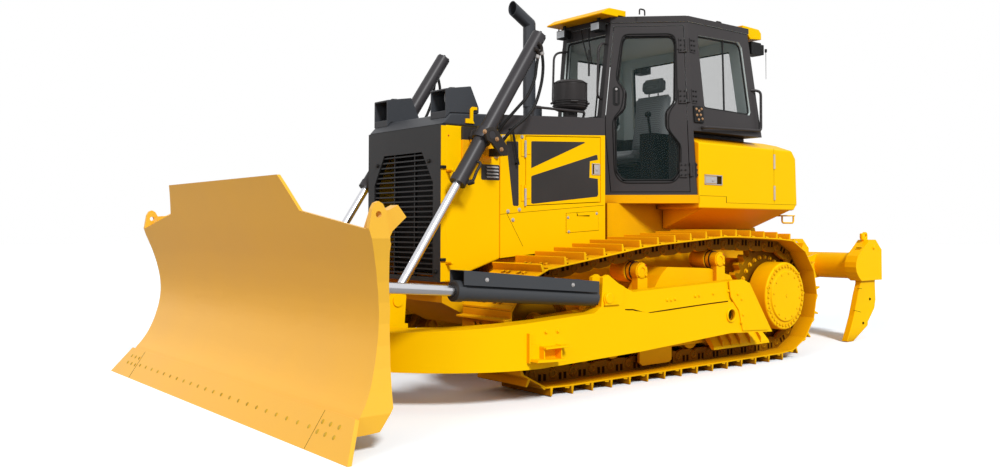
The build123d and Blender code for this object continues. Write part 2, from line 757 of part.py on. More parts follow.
def nose_housing():
    """The radiator guard's two side walls with its bottom and the rear cross member."""
    side = [
        (HOOD_FRONT + RUN_CLEARANCE, HOOD_BOTTOM - 95.0),
        (NOSE_FRONT - MASK_DEPTH, NOSE_BOTTOM),
        (NOSE_FRONT - MASK_DEPTH, NOSE_TOP),
        (HOOD_FRONT + RUN_CLEARANCE, NOSE_TOP),
    ]
    wall = slab_xz(side, HOOD_HALF_WIDTH - HOOD_WALL, HOOD_HALF_WIDTH)
    floor = block(
        (1500.0, NOSE_FRONT - MASK_DEPTH),
        (-HOOD_HALF_WIDTH, HOOD_HALF_WIDTH),
        (NOSE_BOTTOM, NOSE_BOTTOM + 50.0),
    )
    return wall + mirrored(wall) + floor


def nose_cap(lift=0.0):
    """The black bonnet over the radiator, sloping down to the front."""
    return slab_xz(
        [
            (HOOD_FRONT + RUN_CLEARANCE, NOSE_TOP + RUN_CLEARANCE),
            (NOSE_FRONT, NOSE_TOP + RUN_CLEARANCE),
            (NOSE_FRONT - 90.0, NOSE_PEAK + lift),
            (HOOD_FRONT + RUN_CLEARANCE, HOOD_TOP_FRONT + lift),
        ],
        -HOOD_HALF_WIDTH,
        HOOD_HALF_WIDTH,
    )


def grille():
    """The front mask: its frame with cut corners, the slats and the upright bars."""
    opening = [
        (-GRILLE_HALF_WIDTH, GRILLE_BOTTOM),
        (GRILLE_HALF_WIDTH, GRILLE_BOTTOM),
        (GRILLE_HALF_WIDTH, GRILLE_TOP - GRILLE_CORNER * 1.6),
        (GRILLE_HALF_WIDTH - GRILLE_CORNER, GRILLE_TOP),
        (-GRILLE_HALF_WIDTH + GRILLE_CORNER, GRILLE_TOP),
        (-GRILLE_HALF_WIDTH, GRILLE_TOP - GRILLE_CORNER * 1.6),
    ]
    back = NOSE_FRONT - MASK_DEPTH + RUN_CLEARANCE
    mask = block((back, NOSE_FRONT), (-HOOD_HALF_WIDTH, HOOD_HALF_WIDTH), (NOSE_BOTTOM, NOSE_TOP))
    mask -= slab_yz(opening, back - 1.0, NOSE_FRONT + 1.0)
    front = NOSE_FRONT - 8.0
    pitch = (GRILLE_TOP - GRILLE_BOTTOM) / SLAT_COUNT
    bars = Part()
    for index in range(SLAT_COUNT):
        z = GRILLE_BOTTOM + pitch * (index + 0.5)
        bars += block((front - GRILLE_DEPTH, front), (-GRILLE_HALF_WIDTH - 20, GRILLE_HALF_WIDTH + 20),
                      (z - SLAT_HEIGHT / 2, z + SLAT_HEIGHT / 2))
    for y in (-GRILLE_BAR_Y, GRILLE_BAR_Y):
        bars += block((front - GRILLE_DEPTH, front - 12.0), (y - 7.0, y + 7.0),
                      (GRILLE_BOTTOM - 5.0, GRILLE_TOP + 5.0))
    clip = block((back, NOSE_FRONT), (-HOOD_HALF_WIDTH, HOOD_HALF_WIDTH), (NOSE_BOTTOM, NOSE_TOP))
    return mask + (bars & clip)


# ================================================================ cab
def cab_section(z, inset):
    """The cab's six-sided plan at a height: narrow nose, wide middle pillars, tapering rear."""
    share = (z - CAB_FLOOR) / (CAB_EAVES - CAB_FLOOR)
    front = CAB_FRONT_LOW + (CAB_FRONT_HIGH - CAB_FRONT_LOW) * share - inset
    rear = CAB_REAR_LOW + (CAB_REAR_HIGH - CAB_REAR_LOW) * share + inset
    pillar = CAB_PILLAR_LOW + (CAB_PILLAR_HIGH - CAB_PILLAR_LOW) * share
    nose = CAB_NOSE_LOW + (CAB_NOSE_HIGH - CAB_NOSE_LOW) * share
    door_shift = inset * sqrt(1 + CAB_SIDE_SLOPE**2)
    rear_shift = inset * sqrt(1 + CAB_REAR_SLOPE**2)

    def door_wall(x):
        return nose + CAB_SIDE_SLOPE * (front + inset - x) - door_shift

    def rear_wall(x):
        widest = nose + CAB_SIDE_SLOPE * (front + inset - pillar)
        return widest - CAB_REAR_SLOPE * (pillar - x) - rear_shift

    corner = pillar + (rear_shift - door_shift) / (CAB_SIDE_SLOPE + CAB_REAR_SLOPE)
    left = [(front, door_wall(front)), (corner, door_wall(corner)), (rear, rear_wall(rear))]
    return left + [(x, -y) for x, y in reversed(left)]


def frustum(z_low, z_high, inset):
    """The straight-walled solid between the cab's plans at two heights."""
    low = [Vector(x, y, z_low) for x, y in cab_section(z_low, inset)]
    high = [Vector(x, y, z_high) for x, y in cab_section(z_high, inset)]
    faces = [Face(Wire.make_polygon(low)), Face(Wire.make_polygon(high))]
    for index in range(len(low)):
        after = (index + 1) % len(low)
        faces.append(Face(Wire.make_polygon([low[index], low[after], high[after], high[index]])))
    return Solid(Shell(faces))


def cab_body(inset):
    """The cab's form: the six-sided house above the fenders and the tub between them."""
    house = frustum(CAB_FLOOR + inset, CAB_EAVES - inset, inset)
    low = CAB_FENDER_TOP + inset
    for side in (-1, 1):
        y = sorted((side * (CAB_TUB_HALF_WIDTH - inset), side * 1100.0))
        house -= block((-2000.0, TANK_FRONT + 5.0 + inset), y, (CAB_FLOOR - 1.0, low))
    house -= block((-2000.0, CAB_TUB_REAR + inset), (-1100.0, 1100.0), (CAB_FLOOR - 1.0, low))
    return house


CAB_WALLS = ("door", "side", "rear", "far side", "far door", "front")


def wall_frame(wall):
    """A plane on one cab wall: X runs along its foot, Y up the wall, Z outwards."""
    first = CAB_WALLS.index(wall)
    after = (first + 1) % len(CAB_WALLS)
    low = cab_section(CAB_FLOOR, 0.0)
    high = cab_section(CAB_EAVES, 0.0)
    start = Vector(*low[first], CAB_FLOOR)
    foot = (Vector(*low[after], CAB_FLOOR) - start).normalized()
    lift = Vector(*high[first], CAB_EAVES) - start
    outward = foot.cross(lift).normalized()
    return Plane(origin=start, x_dir=foot, z_dir=outward)


def on_wall(wall, points, depth_low, depth_high):
    """A slab over an outline drawn on a cab wall, from one depth outwards to another."""
    plane = wall_frame(wall)
    corners = [plane.from_local_coords(Vector(x, y, depth_low)) for x, y in points]
    face = Face(Wire.make_polygon(corners))
    return extrude(face, amount=depth_high - depth_low, dir=plane.z_dir)


def cab_door_hinges():
    """Planes at the left door's hinges: Y along the pins, X from the door to the pillar."""
    wall = wall_frame("door")
    foot, head = DOOR_FRAME[1], DOOR_FRAME[2]
    planes = []
    for height in CAB_HINGE_HEIGHTS:
        share = (height - foot[1]) / (head[1] - foot[1])
        across = foot[0] + (head[0] - foot[0]) * share + CAB_HINGE["offset"]
        origin = wall.from_local_coords(Vector(across, height, CAB_HINGE["radius"] + RUN_CLEARANCE))
        lean = wall.x_dir * (head[0] - foot[0]) + wall.y_dir * (head[1] - foot[1])
        side = lean.normalized().cross(wall.z_dir)
        planes.append(Plane(origin=origin, x_dir=side, z_dir=wall.z_dir))
    return planes


# Each outline lies on one cab wall: along the wall's foot, and up the wall.
DOOR_WIDTH = hypot(CAB_FRONT_LOW - CAB_PILLAR_LOW, CAB_SIDE_SLOPE * (CAB_FRONT_LOW - CAB_PILLAR_LOW))
WALL_HEIGHT = (CAB_EAVES - CAB_FLOOR) * 1.006
DOOR_FRAME = [(155.0, 24.0), (DOOR_WIDTH - 49.0, 24.0), (DOOR_WIDTH - 94.0, WALL_HEIGHT - 45.0),
              (186.0, WALL_HEIGHT - 45.0), (107.0, 702.0), (107.0, 555.0)]
DOOR_GLASS = [(265.0, 124.0), (717.0, 124.0), (775.0, 206.0), (777.0, 456.0), (749.0, 500.0),
              (663.0, 606.0), (664.0, 754.0), (741.0, 844.0), (743.0, 1405.0), (712.0, 1458.0),
              (288.0, 1460.0), (263.0, 1410.0), (216.0, 1046.0), (291.0, 954.0), (275.0, 789.0),
              (191.0, 699.0), (200.0, 206.0)]
SIDE_WINDOW = [(190.0, 800.0), (840.0, 785.0), (858.0, 815.0), (790.0, 1440.0), (745.0, 1485.0),
               (165.0, 1475.0), (150.0, 1450.0)]
REAR_WINDOW = [(260.0, 800.0), (1646.0, 800.0), (1600.0, 1450.0), (306.0, 1450.0)]
FRONT_WINDOW = [(34.0, 705.0), (514.0, 705.0), (536.0, 1490.0), (12.0, 1490.0)]
END_WINDOWS = [("rear", REAR_WINDOW), ("front", FRONT_WINDOW)]


def cab_shell():
    """The cab's welded shell with its roof, floor, door openings and window openings."""
    shell = cab_body(0.0) - cab_body(CAB_WALL)
    left = on_wall("door", DOOR_FRAME, -CAB_WALL - 30.0, 5.0)
    shell -= left + mirrored(left)
    side = on_wall("side", SIDE_WINDOW, -CAB_WALL - 5.0, 5.0)
    shell -= side + mirrored(side)
    for wall, outline in END_WINDOWS:
        shell -= on_wall(wall, outline, -CAB_WALL - 5.0, 5.0)
    shell += slab_xy(cab_section(CAB_EAVES, -10.0), CAB_EAVES - 5.0, CAB_EAVES + ROOF_RIM)
    shell += slab_xy(cab_section(CAB_EAVES, ROOF_STEP), CAB_EAVES + ROOF_RIM - 5.0, CAB_ROOF)
    for plane in cab_door_hinges():
        leaf = hinge(plane, CAB_HINGE)[1]
        shell += [leaf, mirrored(leaf)]
    return shell


def cab_glass():
    """The fixed panes, set in the middle of the walls."""
    middle = -CAB_WALL / 2
    side = on_wall("side", SIDE_WINDOW, middle, middle + GLASS)
    panes = [side, mirrored(side)]
    for wall, outline in END_WINDOWS:
        panes.append(on_wall(wall, outline, middle, middle + GLASS))
    return panes


def cab_door():
    """The left door: a pressed frame round one large pane, waisted for its lock and hinge."""
    low, high = DOOR_FRAME[0], DOOR_FRAME[2]
    outline = [
        (low[0] + DOOR_SEAM, low[1] + DOOR_SEAM),
        (DOOR_FRAME[1][0] - DOOR_SEAM, low[1] + DOOR_SEAM),
        (high[0] - DOOR_SEAM, high[1] - DOOR_SEAM),
        (DOOR_FRAME[3][0] + DOOR_SEAM, high[1] - DOOR_SEAM),
    ]
    outline += [(x + DOOR_SEAM, y) for x, y in DOOR_FRAME[4:]]
    frame = on_wall("door", outline, -CAB_WALL, 0.0)
    frame -= on_wall("door", DOOR_GLASS, -CAB_WALL - 1.0, 1.0)
    for plane in cab_door_hinges():
        frame += hinge(plane, CAB_HINGE)[0]
    return frame


def door_glass():
    """The left door's pane, filling its frame."""
    middle = -CAB_WALL / 2
    return on_wall("door", DOOR_GLASS, middle, middle + GLASS)


def seat():
    """The operator's seat: cushion, back and head rest on a pedestal."""
    pedestal = block((-900.0, -520.0), (-210.0, 210.0), (CAB_FLOOR + CAB_WALL, 1830.0))
    cushion = block((-940.0, -420.0), (-260.0, 260.0), (1830.0, 1960.0))
    back = slab_xz([(-940.0, 1940.0), (-820.0, 1940.0), (-900.0, 2560.0), (-1000.0, 2560.0)],
                   -245.0, 245.0)
    rest = slab_xz([(-990.0, 2550.0), (-905.0, 2550.0), (-925.0, 2720.0), (-1005.0, 2720.0)],
                   -130.0, 130.0)
    return pedestal + cushion + back + rest


def console():
    """The dash under the windscreen and the arm boxes with their levers beside the seat."""
    dash = slab_xz([(40.0, CAB_FLOOR + CAB_WALL), (110.0, CAB_FLOOR + CAB_WALL), (70.0, 2210.0),
                    (-90.0, 2260.0), (-110.0, 2160.0), (0.0, 2080.0)], -330.0, 330.0)
    shapes = [dash & cab_body(CAB_WALL + RUN_CLEARANCE)]
    for side in (-1, 1):
        y = sorted((side * 330.0, side * 480.0))
        box = block((-860.0, -380.0), y, (CAB_FLOOR + CAB_WALL, 2090.0))
        middle = side * 400.0
        lever = bar((-450.0, middle, 2080.0), (-420.0, middle, 2260.0), 12.0)
        knob = Pos(-418.0, middle, 2270.0) * Sphere(30.0)
        shapes.append(box + lever + knob)
    return shapes


def visors():
    """The yellow sun hood over the windscreen and the lamp hood at the roof's rear."""
    seat_z = CAB_EAVES + ROOF_RIM + RUN_CLEARANCE
    roof_z = CAB_ROOF + RUN_CLEARANCE
    crown = CAB_ROOF + VISOR_RISE
    lip = CAB_FRONT_HIGH - ROOF_STEP + 1.0
    brow = CAB_FRONT_HIGH + VISOR_REACH
    front = slab_xz([(lip, seat_z), (brow, seat_z), (brow, seat_z + 12.0), (brow - 95.0, crown),
                     (lip - 100.0, crown + 3.0), (lip - 100.0, roof_z), (lip, roof_z)], -373.0, 373.0)
    back = CAB_REAR_HIGH + ROOF_RIM / 2
    heel = CAB_REAR_HIGH - 15.0
    rear = slab_xz([(back, seat_z), (heel, seat_z), (heel - 85.0, CAB_ROOF - 94.0),
                    (heel - 268.0, CAB_ROOF - 77.0), (heel - 266.0, CAB_ROOF - 14.0),
                    (heel - 225.0, CAB_ROOF + 20.0), (back, CAB_ROOF + 26.0)], -800.0, 800.0)
    return [front, rear]


# ================================================================ fuel tank and fenders
def rear_tank():
    """The fuel tank across the rear with the two fenders that run forward beside the cab."""
    outline = [
        (TANK_FRONT, TANK_BOTTOM),
        (TANK_REAR + 60.0, TANK_BOTTOM),
        (TANK_REAR, TANK_BOTTOM + 60.0),
        (TANK_REAR + 20.0, 1900.0),
        (TANK_REAR + 130.0, TANK_TOP - 20.0),
        (TANK_REAR + 300.0, TANK_TOP),
        (TANK_FRONT, TANK_TOP),
    ]
    tank = slab_xz(outline, -TANK_HALF_WIDTH, TANK_HALF_WIDTH)
    tank -= block(
        (CAB_TUB_REAR - 15.0, TANK_FRONT + 10.0),
        (-FENDER_INNER, FENDER_INNER),
        (CAB_FLOOR - RUN_CLEARANCE, TANK_TOP + 10.0),
    )
    ramp = [(TANK_HALF_WIDTH - 190.0, TANK_TOP), (TANK_HALF_WIDTH + 1.0, TANK_TOP - 75.0),
            (TANK_HALF_WIDTH + 1.0, TANK_TOP + 1.0), (TANK_HALF_WIDTH - 190.0, TANK_TOP + 1.0)]
    cut = slab_yz(ramp, TANK_REAR - 1.0, TANK_FRONT + 1.0)
    side = HULL_HALF_WIDTH + RUN_CLEARANCE
    belly = slab_yz([(side, TANK_BOTTOM + 5.0), (side, TANK_BOTTOM - 190.0),
                     (TANK_HALF_WIDTH - 15.0, TANK_BOTTOM), (TANK_HALF_WIDTH - 15.0, TANK_BOTTOM + 5.0)],
                    TANK_REAR + 110.0, TANK_FRONT - 60.0)
    return tank + belly + mirrored(belly) - cut - mirrored(cut)


# ================================================================ stacks and lamps
def under_hood():
    """The space up to the hood's top, from which whatever stands on it is cut."""
    lift = RUN_CLEARANCE
    return slab_xz([(HOOD_REAR, 1900.0), (HOOD_FRONT, 1900.0), (HOOD_FRONT, HOOD_TOP_FRONT + lift),
                    (HOOD_REAR, HOOD_TOP_REAR + lift)], -HOOD_HALF_WIDTH, HOOD_HALF_WIDTH)


def exhaust_stack():
    """The silencer outlet on the hood with its mitred tail pipe, cut upright at the mouth."""
    x, y = 652.0, -60.0
    radius, bend, wall = 57.0, 3040.0, 6.0
    rise = 400.0 * tan(radians(30.0))
    elbow_end = (x + 400.0, y, bend + rise)
    base = bar((x - 40.0, y, hood_top(x) - 5.0), (x - 40.0, y, 2300.0), 85.0)
    pipe = bar((x, y, 2290.0), (x, y, bend), radius)
    elbow = bar((x, y, bend), elbow_end, radius) + Pos(x, y, bend) * Sphere(radius)
    elbow -= bar((x + 60.0, y, bend + rise * 0.15), elbow_end, radius - wall)
    mouth = block((x + 198.0, x + 500.0), (y - 100.0, y + 100.0), (bend - 100.0, bend + 400.0))
    return base + pipe + (elbow - mouth) - under_hood()


def air_cleaner():
    """The bowl of the intake pre-cleaner on its neck."""
    x, y = 535.0, 350.0
    z = hood_top(x)
    return spun(
        [
            (z - 5.0, 0.0),
            (z - 5.0, 62.0),
            (2215.0, 62.0),
            (2232.0, 130.0),
            (2250.0, 146.0),
            (2300.0, 150.0),
            (2450.0, 150.0),
            (2472.0, 142.0),
            (2486.0, 118.0),
            (2492.0, 0.0),
        ],
        x,
        y,
    ) - under_hood()


def work_lamps():
    """The two headlamp hoods at the bonnet's front corners, open to the front."""
    lamps = []
    for y in (-415.0, 415.0):
        hood = slab_xz([(1665.0, 2020.0), (1665.0, 2140.0), (1742.0, 2300.0), (1978.0, 2262.0),
                        (1978.0, 1990.0)], y - 104.0, y + 104.0)
        hood -= slab_xz([(1760.0, 2096.0), (1770.0, 2270.0), (1990.0, 2246.0), (1990.0, 2096.0)],
                        y - 92.0, y + 92.0)
        lamps.append(hood - nose_cap(RUN_CLEARANCE))
    return lamps


# ================================================================ push frame and blade
def push_frame():
    """The C-frame: two side arms that sweep in to the blade pin, with their upper brackets."""
    sweep = [
        (1700.0, ARM_OUTER_Y),
        (1900.0, ARM_OUTER_Y - 4.0),
        (2230.0, ARM_OUTER_Y - 80.0),
        (2530.0, ARM_OUTER_Y - 260.0),
        (2750.0, 960.0),
        (2890.0, 680.0),
        (2965.0, 350.0),
        (2985.0, 0.0),
    ]
    plan_in = [
        (2760.0, 0.0),
        (2740.0, 300.0),
        (2675.0, 600.0),
        (2560.0, 860.0),
        (2380.0, ARM_INNER_Y - 230.0),
        (2110.0, ARM_INNER_Y - 70.0),
        (1820.0, ARM_INNER_Y),
        (-840.0, ARM_INNER_Y),
        (-840.0, ARM_OUTER_Y),
    ]
    half = curved_slab(sweep, plan_in, on_plan, 200.0, 1000.0)
    side = slab_xz(
        [
            (-840.0, 311.0),
            (-260.0, 340.0),
            (150.0, 316.0),
            (850.0, 281.0),
            (1850.0, 252.0),
            (3000.0, 262.0),
            (3000.0, 514.0),
            (2700.0, 520.0),
            (1850.0, 572.0),
            (1330.0, 598.0),
            (1262.0, 640.0),
            (1245.0, 850.0),
            (1190.0, 868.0),
            (1080.0, 800.0),
            (917.0, 731.0),
            (-410.0, 773.0),
            (-520.0, 745.0),
        ],
        -ARM_OUTER_Y - 1.0,
        ARM_OUTER_Y + 1.0,
    )
    frame = (half + mirrored(half)) & side
    upper = [(1047.0, 606.0), (785.0, 574.0), (729.0, 563.0), (132.0, 584.0), (-369.0, 598.0),
             (-369.0, 900.0), (1000.0, 900.0)]
    step = slab_xz(upper, ARM_OUTER_Y - ARM_STEP, ARM_OUTER_Y + 1.0)
    cap = slab_xz([(-221.0, 772.0), (-410.0, 779.0), (-466.0, 760.0), (-770.0, 333.0), (-408.0, 350.0),
                   (-354.0, 525.0), (-247.0, 638.0)], ARM_OUTER_Y - 1.0, ARM_OUTER_Y + ARM_STEP)
    frame += cap + mirrored(cap)
    frame -= step + mirrored(step)
    frame += block((2900.0, NOSE_PIN_X), (-95.0, 95.0), (290.0, 480.0))
    frame += bar((NOSE_PIN_X, 0, 290.0), (NOSE_PIN_X, 0, 480.0), 95.0)
    frame -= bar((NOSE_PIN_X, 0, 280.0), (NOSE_PIN_X, 0, 490.0), NOSE_PIN_RADIUS + RUN_CLEARANCE)
    for turn in (-1, 1):
        middle = turn * LIFT_Y
        for offset in (-EYE_HALF - LUG_GAP - PLATE, EYE_HALF + LUG_GAP):
            frame += slab_xz(
                [
                    (2640.0, 500.0),
                    (LIFT_EYE[0] + 70.0, LIFT_EYE[1] + 30.0),
                    (LIFT_EYE[0] + 30.0, LIFT_EYE[1] + 75.0),
                    (LIFT_EYE[0] - 30.0, LIFT_EYE[1] + 75.0),
                    (LIFT_EYE[0] - 70.0, LIFT_EYE[1] + 30.0),
                    (2470.0, 500.0),
                    (2640.0, 480.0),
                ],
                middle + offset,
                middle + offset + PLATE,
            )
        frame += block((2440.0, 2780.0), (middle - 62.0, middle + 62.0), (430.0, 540.0))
        outside = EYE_HALF + LUG_GAP + PLATE
        for low, high in [(-outside - 10.0, 1.0 - outside), (outside - 1.0, outside + 10.0)]:
            frame += cross_bar(LIFT_EYE[0], LIFT_EYE[1], middle + low, middle + high, PIN_RADIUS + 12)
        x, z = ANGLE_PIN
        y = turn * ANGLE_Y
        room = ANGLE_EYE_RADIUS + LUG_GAP
        slot = EYE_HALF + LUG_GAP
        frame -= block((x - room, x + 200.0), (y - slot, y + slot), (z - room, z + 200.0))
        frame -= bar(spaced(along(ANGLE_PIN, ANGLE_EYE, ANGLE_REAR - 12.0), y),
                     spaced(along(ANGLE_PIN, ANGLE_EYE, ANGLE_REAR + 200.0), y),
                     ANGLE_BARREL_RADIUS + 12.0)
        frame += cross_bar(x, z, y - slot - 1.0, y + slot + 1.0, ANGLE_PIN_RADIUS)
        outer = sorted((turn * (ARM_OUTER_Y - 1.0), turn * (ARM_OUTER_Y + PIN_BOSS)))
        frame += cross_bar(x, z, *outer, ANGLE_EYE_RADIUS + 4.0)
        frame -= cross_bar(TRUNNION_X, TRUNNION_Z, y - ARM_THICKNESS, y + ARM_THICKNESS,
                           TRUNNION_RADIUS + RUN_CLEARANCE)
    return frame


def edge_back(z):
    """How far forward the back of the cutting edge lies at a height."""
    run = (EDGE_TOP[0] - BLADE_TIP_X, EDGE_TOP[1])
    return BLADE_TIP_X + run[0] / run[1] * z - EDGE_PLATE * hypot(*run) / run[1]


def moldboard():
    """The moldboard's curved plate over the blade's whole width and height."""
    front = [(edge_back(215.0), 215.0), (3392.0, 330.0), (3342.0, 470.0),
             (3313.0, 610.0), (3309.0, 750.0), (3330.0, 890.0), (3370.0, 1040.0), (3425.0, 1200.0),
             (3468.0, 1340.0), (3530.0, 1530.0)]
    width = BLADE_HALF_WIDTH + END_PLATE
    back = [(3200.0, 1530.0), (3200.0, 105.0), (edge_back(105.0), 105.0)]
    whole = curved_slab(front, back, on_side, -width, width)
    return whole, whole - Pos(-BLADE_PLATE, 0, 0) * whole


def blade_face(half_width, head):
    """The blade's outline from the front, its sides drawn in between the edge and the shoulders."""
    low, high = EDGE_TOP[1], BLADE_SHOULDER_Z - 50.0
    side = [(half_width, 90.0)]
    for step in range(9):
        share = step / 8
        side.append((half_width - BLADE_WAIST * sin(pi * share), low + (high - low) * share))
    outline = side + head
    return slab_yz(outline + [(-y, z) for y, z in reversed(outline)], 3200.0, 3700.0)


def blade():
    """The angling blade: curved moldboard, end plates, back boxes, pin sockets and top guard."""
    whole, sheet = moldboard()
    guard = [(BLADE_HALF_WIDTH, BLADE_SHOULDER_Z), (1100.0, 1310.0), (940.0, 1530.0)]
    inside = blade_face(BLADE_HALF_WIDTH, guard)
    upper = slab_xz([(3350.0, 1000.0), (3395.0, 1180.0), (3290.0, 1170.0), (BLADE_BACK, 1120.0),
                     (BLADE_BACK, 980.0)], -BLADE_HALF_WIDTH, BLADE_HALF_WIDTH)
    lower = slab_xz([(3380.0, 330.0), (3490.0, 130.0), (3370.0, 150.0), (BLADE_BACK, 250.0),
                     (BLADE_BACK, 400.0), (3318.0, 520.0)], -BLADE_HALF_WIDTH, BLADE_HALF_WIDTH)
    body = (sheet + upper + lower) & inside
    ends = slab_xz(
        [
            (3700.0, 90.0),
            (3700.0, 1205.0),
            (3425.0, 1205.0),
            (3408.0, 1310.0),
            (3390.0, 1342.0),
            (3366.0, 1352.0),
            (3340.0, 1338.0),
            (3318.0, 1300.0),
            (3290.0, 1140.0),
            (3238.0, 760.0),
            (3238.0, 560.0),
            (3262.0, 228.0),
            (3350.0, 110.0),
        ],
        -BLADE_HALF_WIDTH - END_PLATE,
        BLADE_HALF_WIDTH + END_PLATE,
    )
    width = BLADE_HALF_WIDTH + END_PLATE
    ear = block((3200.0, 3424.0), (-width, width), (BLADE_SHOULDER_Z - 6.0, 1400.0))
    rim = blade_face(width, [(width, 1400.0)]) - blade_face(BLADE_HALF_WIDTH, [(BLADE_HALF_WIDTH, 1400.0)])
    body += ends & rim & (whole + ear)
    for side in (-1, 1):
        y = sorted((side * (BLADE_HALF_WIDTH - 1.0), side * (width + 1.0)))
        body -= cross_bar(*LIFTING_HOLE, *y, LIFTING_HOLE_RADIUS)
        y = sorted((side * (BLADE_HALF_WIDTH - 110.0), side * (BLADE_HALF_WIDTH - 30.0)))
        body += slab_xz([(3390.0, 1170.0), (3345.0, 1300.0), (3264.0, 1306.0), (3206.0, 1335.0),
                         (3150.0, 1268.0), (3240.0, 1190.0), (3275.0, 1120.0)], *y)
        for rib in BLADE_RIBS:
            y = side * rib
            body += slab_xz([(3215.0, 300.0), (3215.0, 1090.0), (3290.0, 1150.0), (3312.0, 1000.0),
                             (3300.0, 700.0), (3318.0, 480.0), (3350.0, 250.0), (3275.0, 250.0)],
                            y - PLATE / 2, y + PLATE / 2)
        x, y = ANGLE_EYE[0], side * ANGLE_Y
        body += block((3278.0, 3306.0), (y - 150.0, y + 150.0), (ANGLE_EYE[1] - 90.0, ANGLE_EYE[1] + 85.0))
        for offset in (-EYE_HALF - ANGLE_LUG_GAP - PLATE, EYE_HALF + ANGLE_LUG_GAP):
            body += slab_xy(
                [
                    (3300.0, y - 130.0),
                    (3300.0, y + 130.0),
                    (x + 10.0, y + 62.0),
                    (x - 55.0, y + 30.0),
                    (x - 55.0, y - 30.0),
                    (x + 10.0, y - 62.0),
                ],
                ANGLE_EYE[1] + offset,
                ANGLE_EYE[1] + offset + PLATE,
            )
    for z in (235.0, 495.0):
        body += block((NOSE_PIN_X, 3305.0), (-130.0, 130.0), (z, z + 40.0))
        body += bar((NOSE_PIN_X, 0, z), (NOSE_PIN_X, 0, z + 40.0), 100.0)
    for y in (-130.0, 105.0):
        body += block((3230.0, 3305.0), (y, y + PLATE), (235.0, 535.0))
    body += bar((NOSE_PIN_X, 0, 225.0), (NOSE_PIN_X, 0, 545.0), NOSE_PIN_RADIUS)
    return body


def cutting_edges():
    """The bolted cutting edge and the two flared end bits, ground to a point at the bottom."""
    run = (EDGE_TOP[0] - BLADE_TIP_X, EDGE_TOP[1])
    heel = (edge_back(0.0), 0.0)
    top = (EDGE_TOP[0] - EDGE_PLATE * run[1] / hypot(*run), EDGE_TOP[1] + EDGE_PLATE * run[0] / hypot(*run))
    section = [(BLADE_TIP_X, 0.0), EDGE_TOP, top, heel]
    edges = []
    for low, high, high_top in [(-EDGE_HALF, EDGE_HALF, EDGE_HALF),
                                (EDGE_HALF + 2.0, BLADE_TIP_HALF_WIDTH, BLADE_HALF_WIDTH + END_PLATE + 2.0)]:
        strip = slab_xz(section, low, high)
        mask = slab_yz([(low, 0.0), (high, 0.0), (high_top, EDGE_TOP[1]), (low, EDGE_TOP[1])],
                       3300.0, BLADE_TIP_X + 10.0)
        edges.append(strip & mask)
    return [edges[0], edges[1], mirrored(edges[1])]


# ================================================================ cylinders
def spaced(point, y):
    """A point of the X-Z plane at a place across the machine."""
    return (point[0], y, point[1])


def barrel(rear, gland, y, radius, rod_radius):
    """A cylinder barrel, bored for its piston, with a thicker gland at its mouth."""
    length = hypot(gland[0] - rear[0], gland[1] - rear[1])
    inner = along(rear, gland, BARREL_END)
    neck = along(rear, gland, length - GLAND_LENGTH)
    body = bar(spaced(rear, y), spaced(gland, y), radius)
    body += bar(spaced(neck, y), spaced(gland, y), radius + 6.0)
    body -= bar(spaced(inner, y), spaced(neck, y), radius - BARREL_WALL)
    mouth = along(rear, gland, length + 1.0)
    return body - bar(spaced(inner, y), spaced(mouth, y), rod_radius + 0.05)


def rod(rear, eye, y, radius, rod_radius, retraction):
    """A chromed rod with its piston inside the barrel, as far from its end as it has to run."""
    tail = BARREL_END + retraction + 5.0
    neck = along(eye, rear, EYE_RADIUS + 20.0)
    body = bar(spaced(along(rear, eye, tail), y), spaced(neck, y), rod_radius)
    body += bar(spaced(neck, y), spaced(eye, y), EYE_HALF - 8.0)
    piston = bar(spaced(along(rear, eye, tail), y),
                 spaced(along(rear, eye, tail + PISTON_LENGTH), y), radius - BARREL_WALL - RUN_CLEARANCE)
    return body + piston


def eye_across(point, y):
    """A rod's eye with its pin, on a pin line across the machine."""
    return cross_bar(point[0], point[1], y - EYE_HALF, y + EYE_HALF, EYE_RADIUS)


def lift_barrel():
    """The left lift cylinder's barrel, hung in its yoke by two trunnion pins."""
    body = barrel(LIFT_TOP, LIFT_GLAND, LIFT_Y, LIFT_BARREL_RADIUS, LIFT_ROD_RADIUS)
    start = along(LIFT_TRUNNION, LIFT_TOP, 45.0)
    end = along(LIFT_TRUNNION, LIFT_GLAND, 45.0)
    collar = tube(spaced(start, LIFT_Y), spaced(end, LIFT_Y), 74.0, LIFT_BARREL_RADIUS - 1.0)
    pins = cross_bar(LIFT_TRUNNION[0], LIFT_TRUNNION[1], LIFT_Y - 108.0, LIFT_Y + 108.0, PIN_RADIUS)
    room = bar(spaced(LIFT_TOP, LIFT_Y), spaced(LIFT_GLAND, LIFT_Y), LIFT_BARREL_RADIUS - 12.0)
    return body + collar + (pins - room)


def lift_yoke():
    """The fork on the nose wall that carries the left lift cylinder's trunnions."""
    x, z = LIFT_TRUNNION
    low = HOOD_HALF_WIDTH
    yoke = block((x - 170.0, x + 110.0), (low, low + PLATE), (z - 190.0, z + 75.0))
    ear = [(x + 45.0, z - 45.0), (x + 62.0, z), (x + 45.0, z + 45.0), (x, z + 62.0),
           (x - 50.0, z + 42.0), (x - 150.0, z - 80.0), (x - 150.0, z - 150.0),
           (x - 80.0, z - 150.0), (x, z - 62.0)]
    for y in (LIFT_Y - 108.0, LIFT_Y + 83.0):
        yoke += slab_xz(ear, y, y + PLATE)
    yoke += block((x - 150.0, x - 90.0), (low, LIFT_Y + 108.0), (z - 150.0, z - 90.0))
    return yoke - cross_bar(x, z, low + PLATE, LIFT_Y + 120.0, PIN_RADIUS + 0.3)


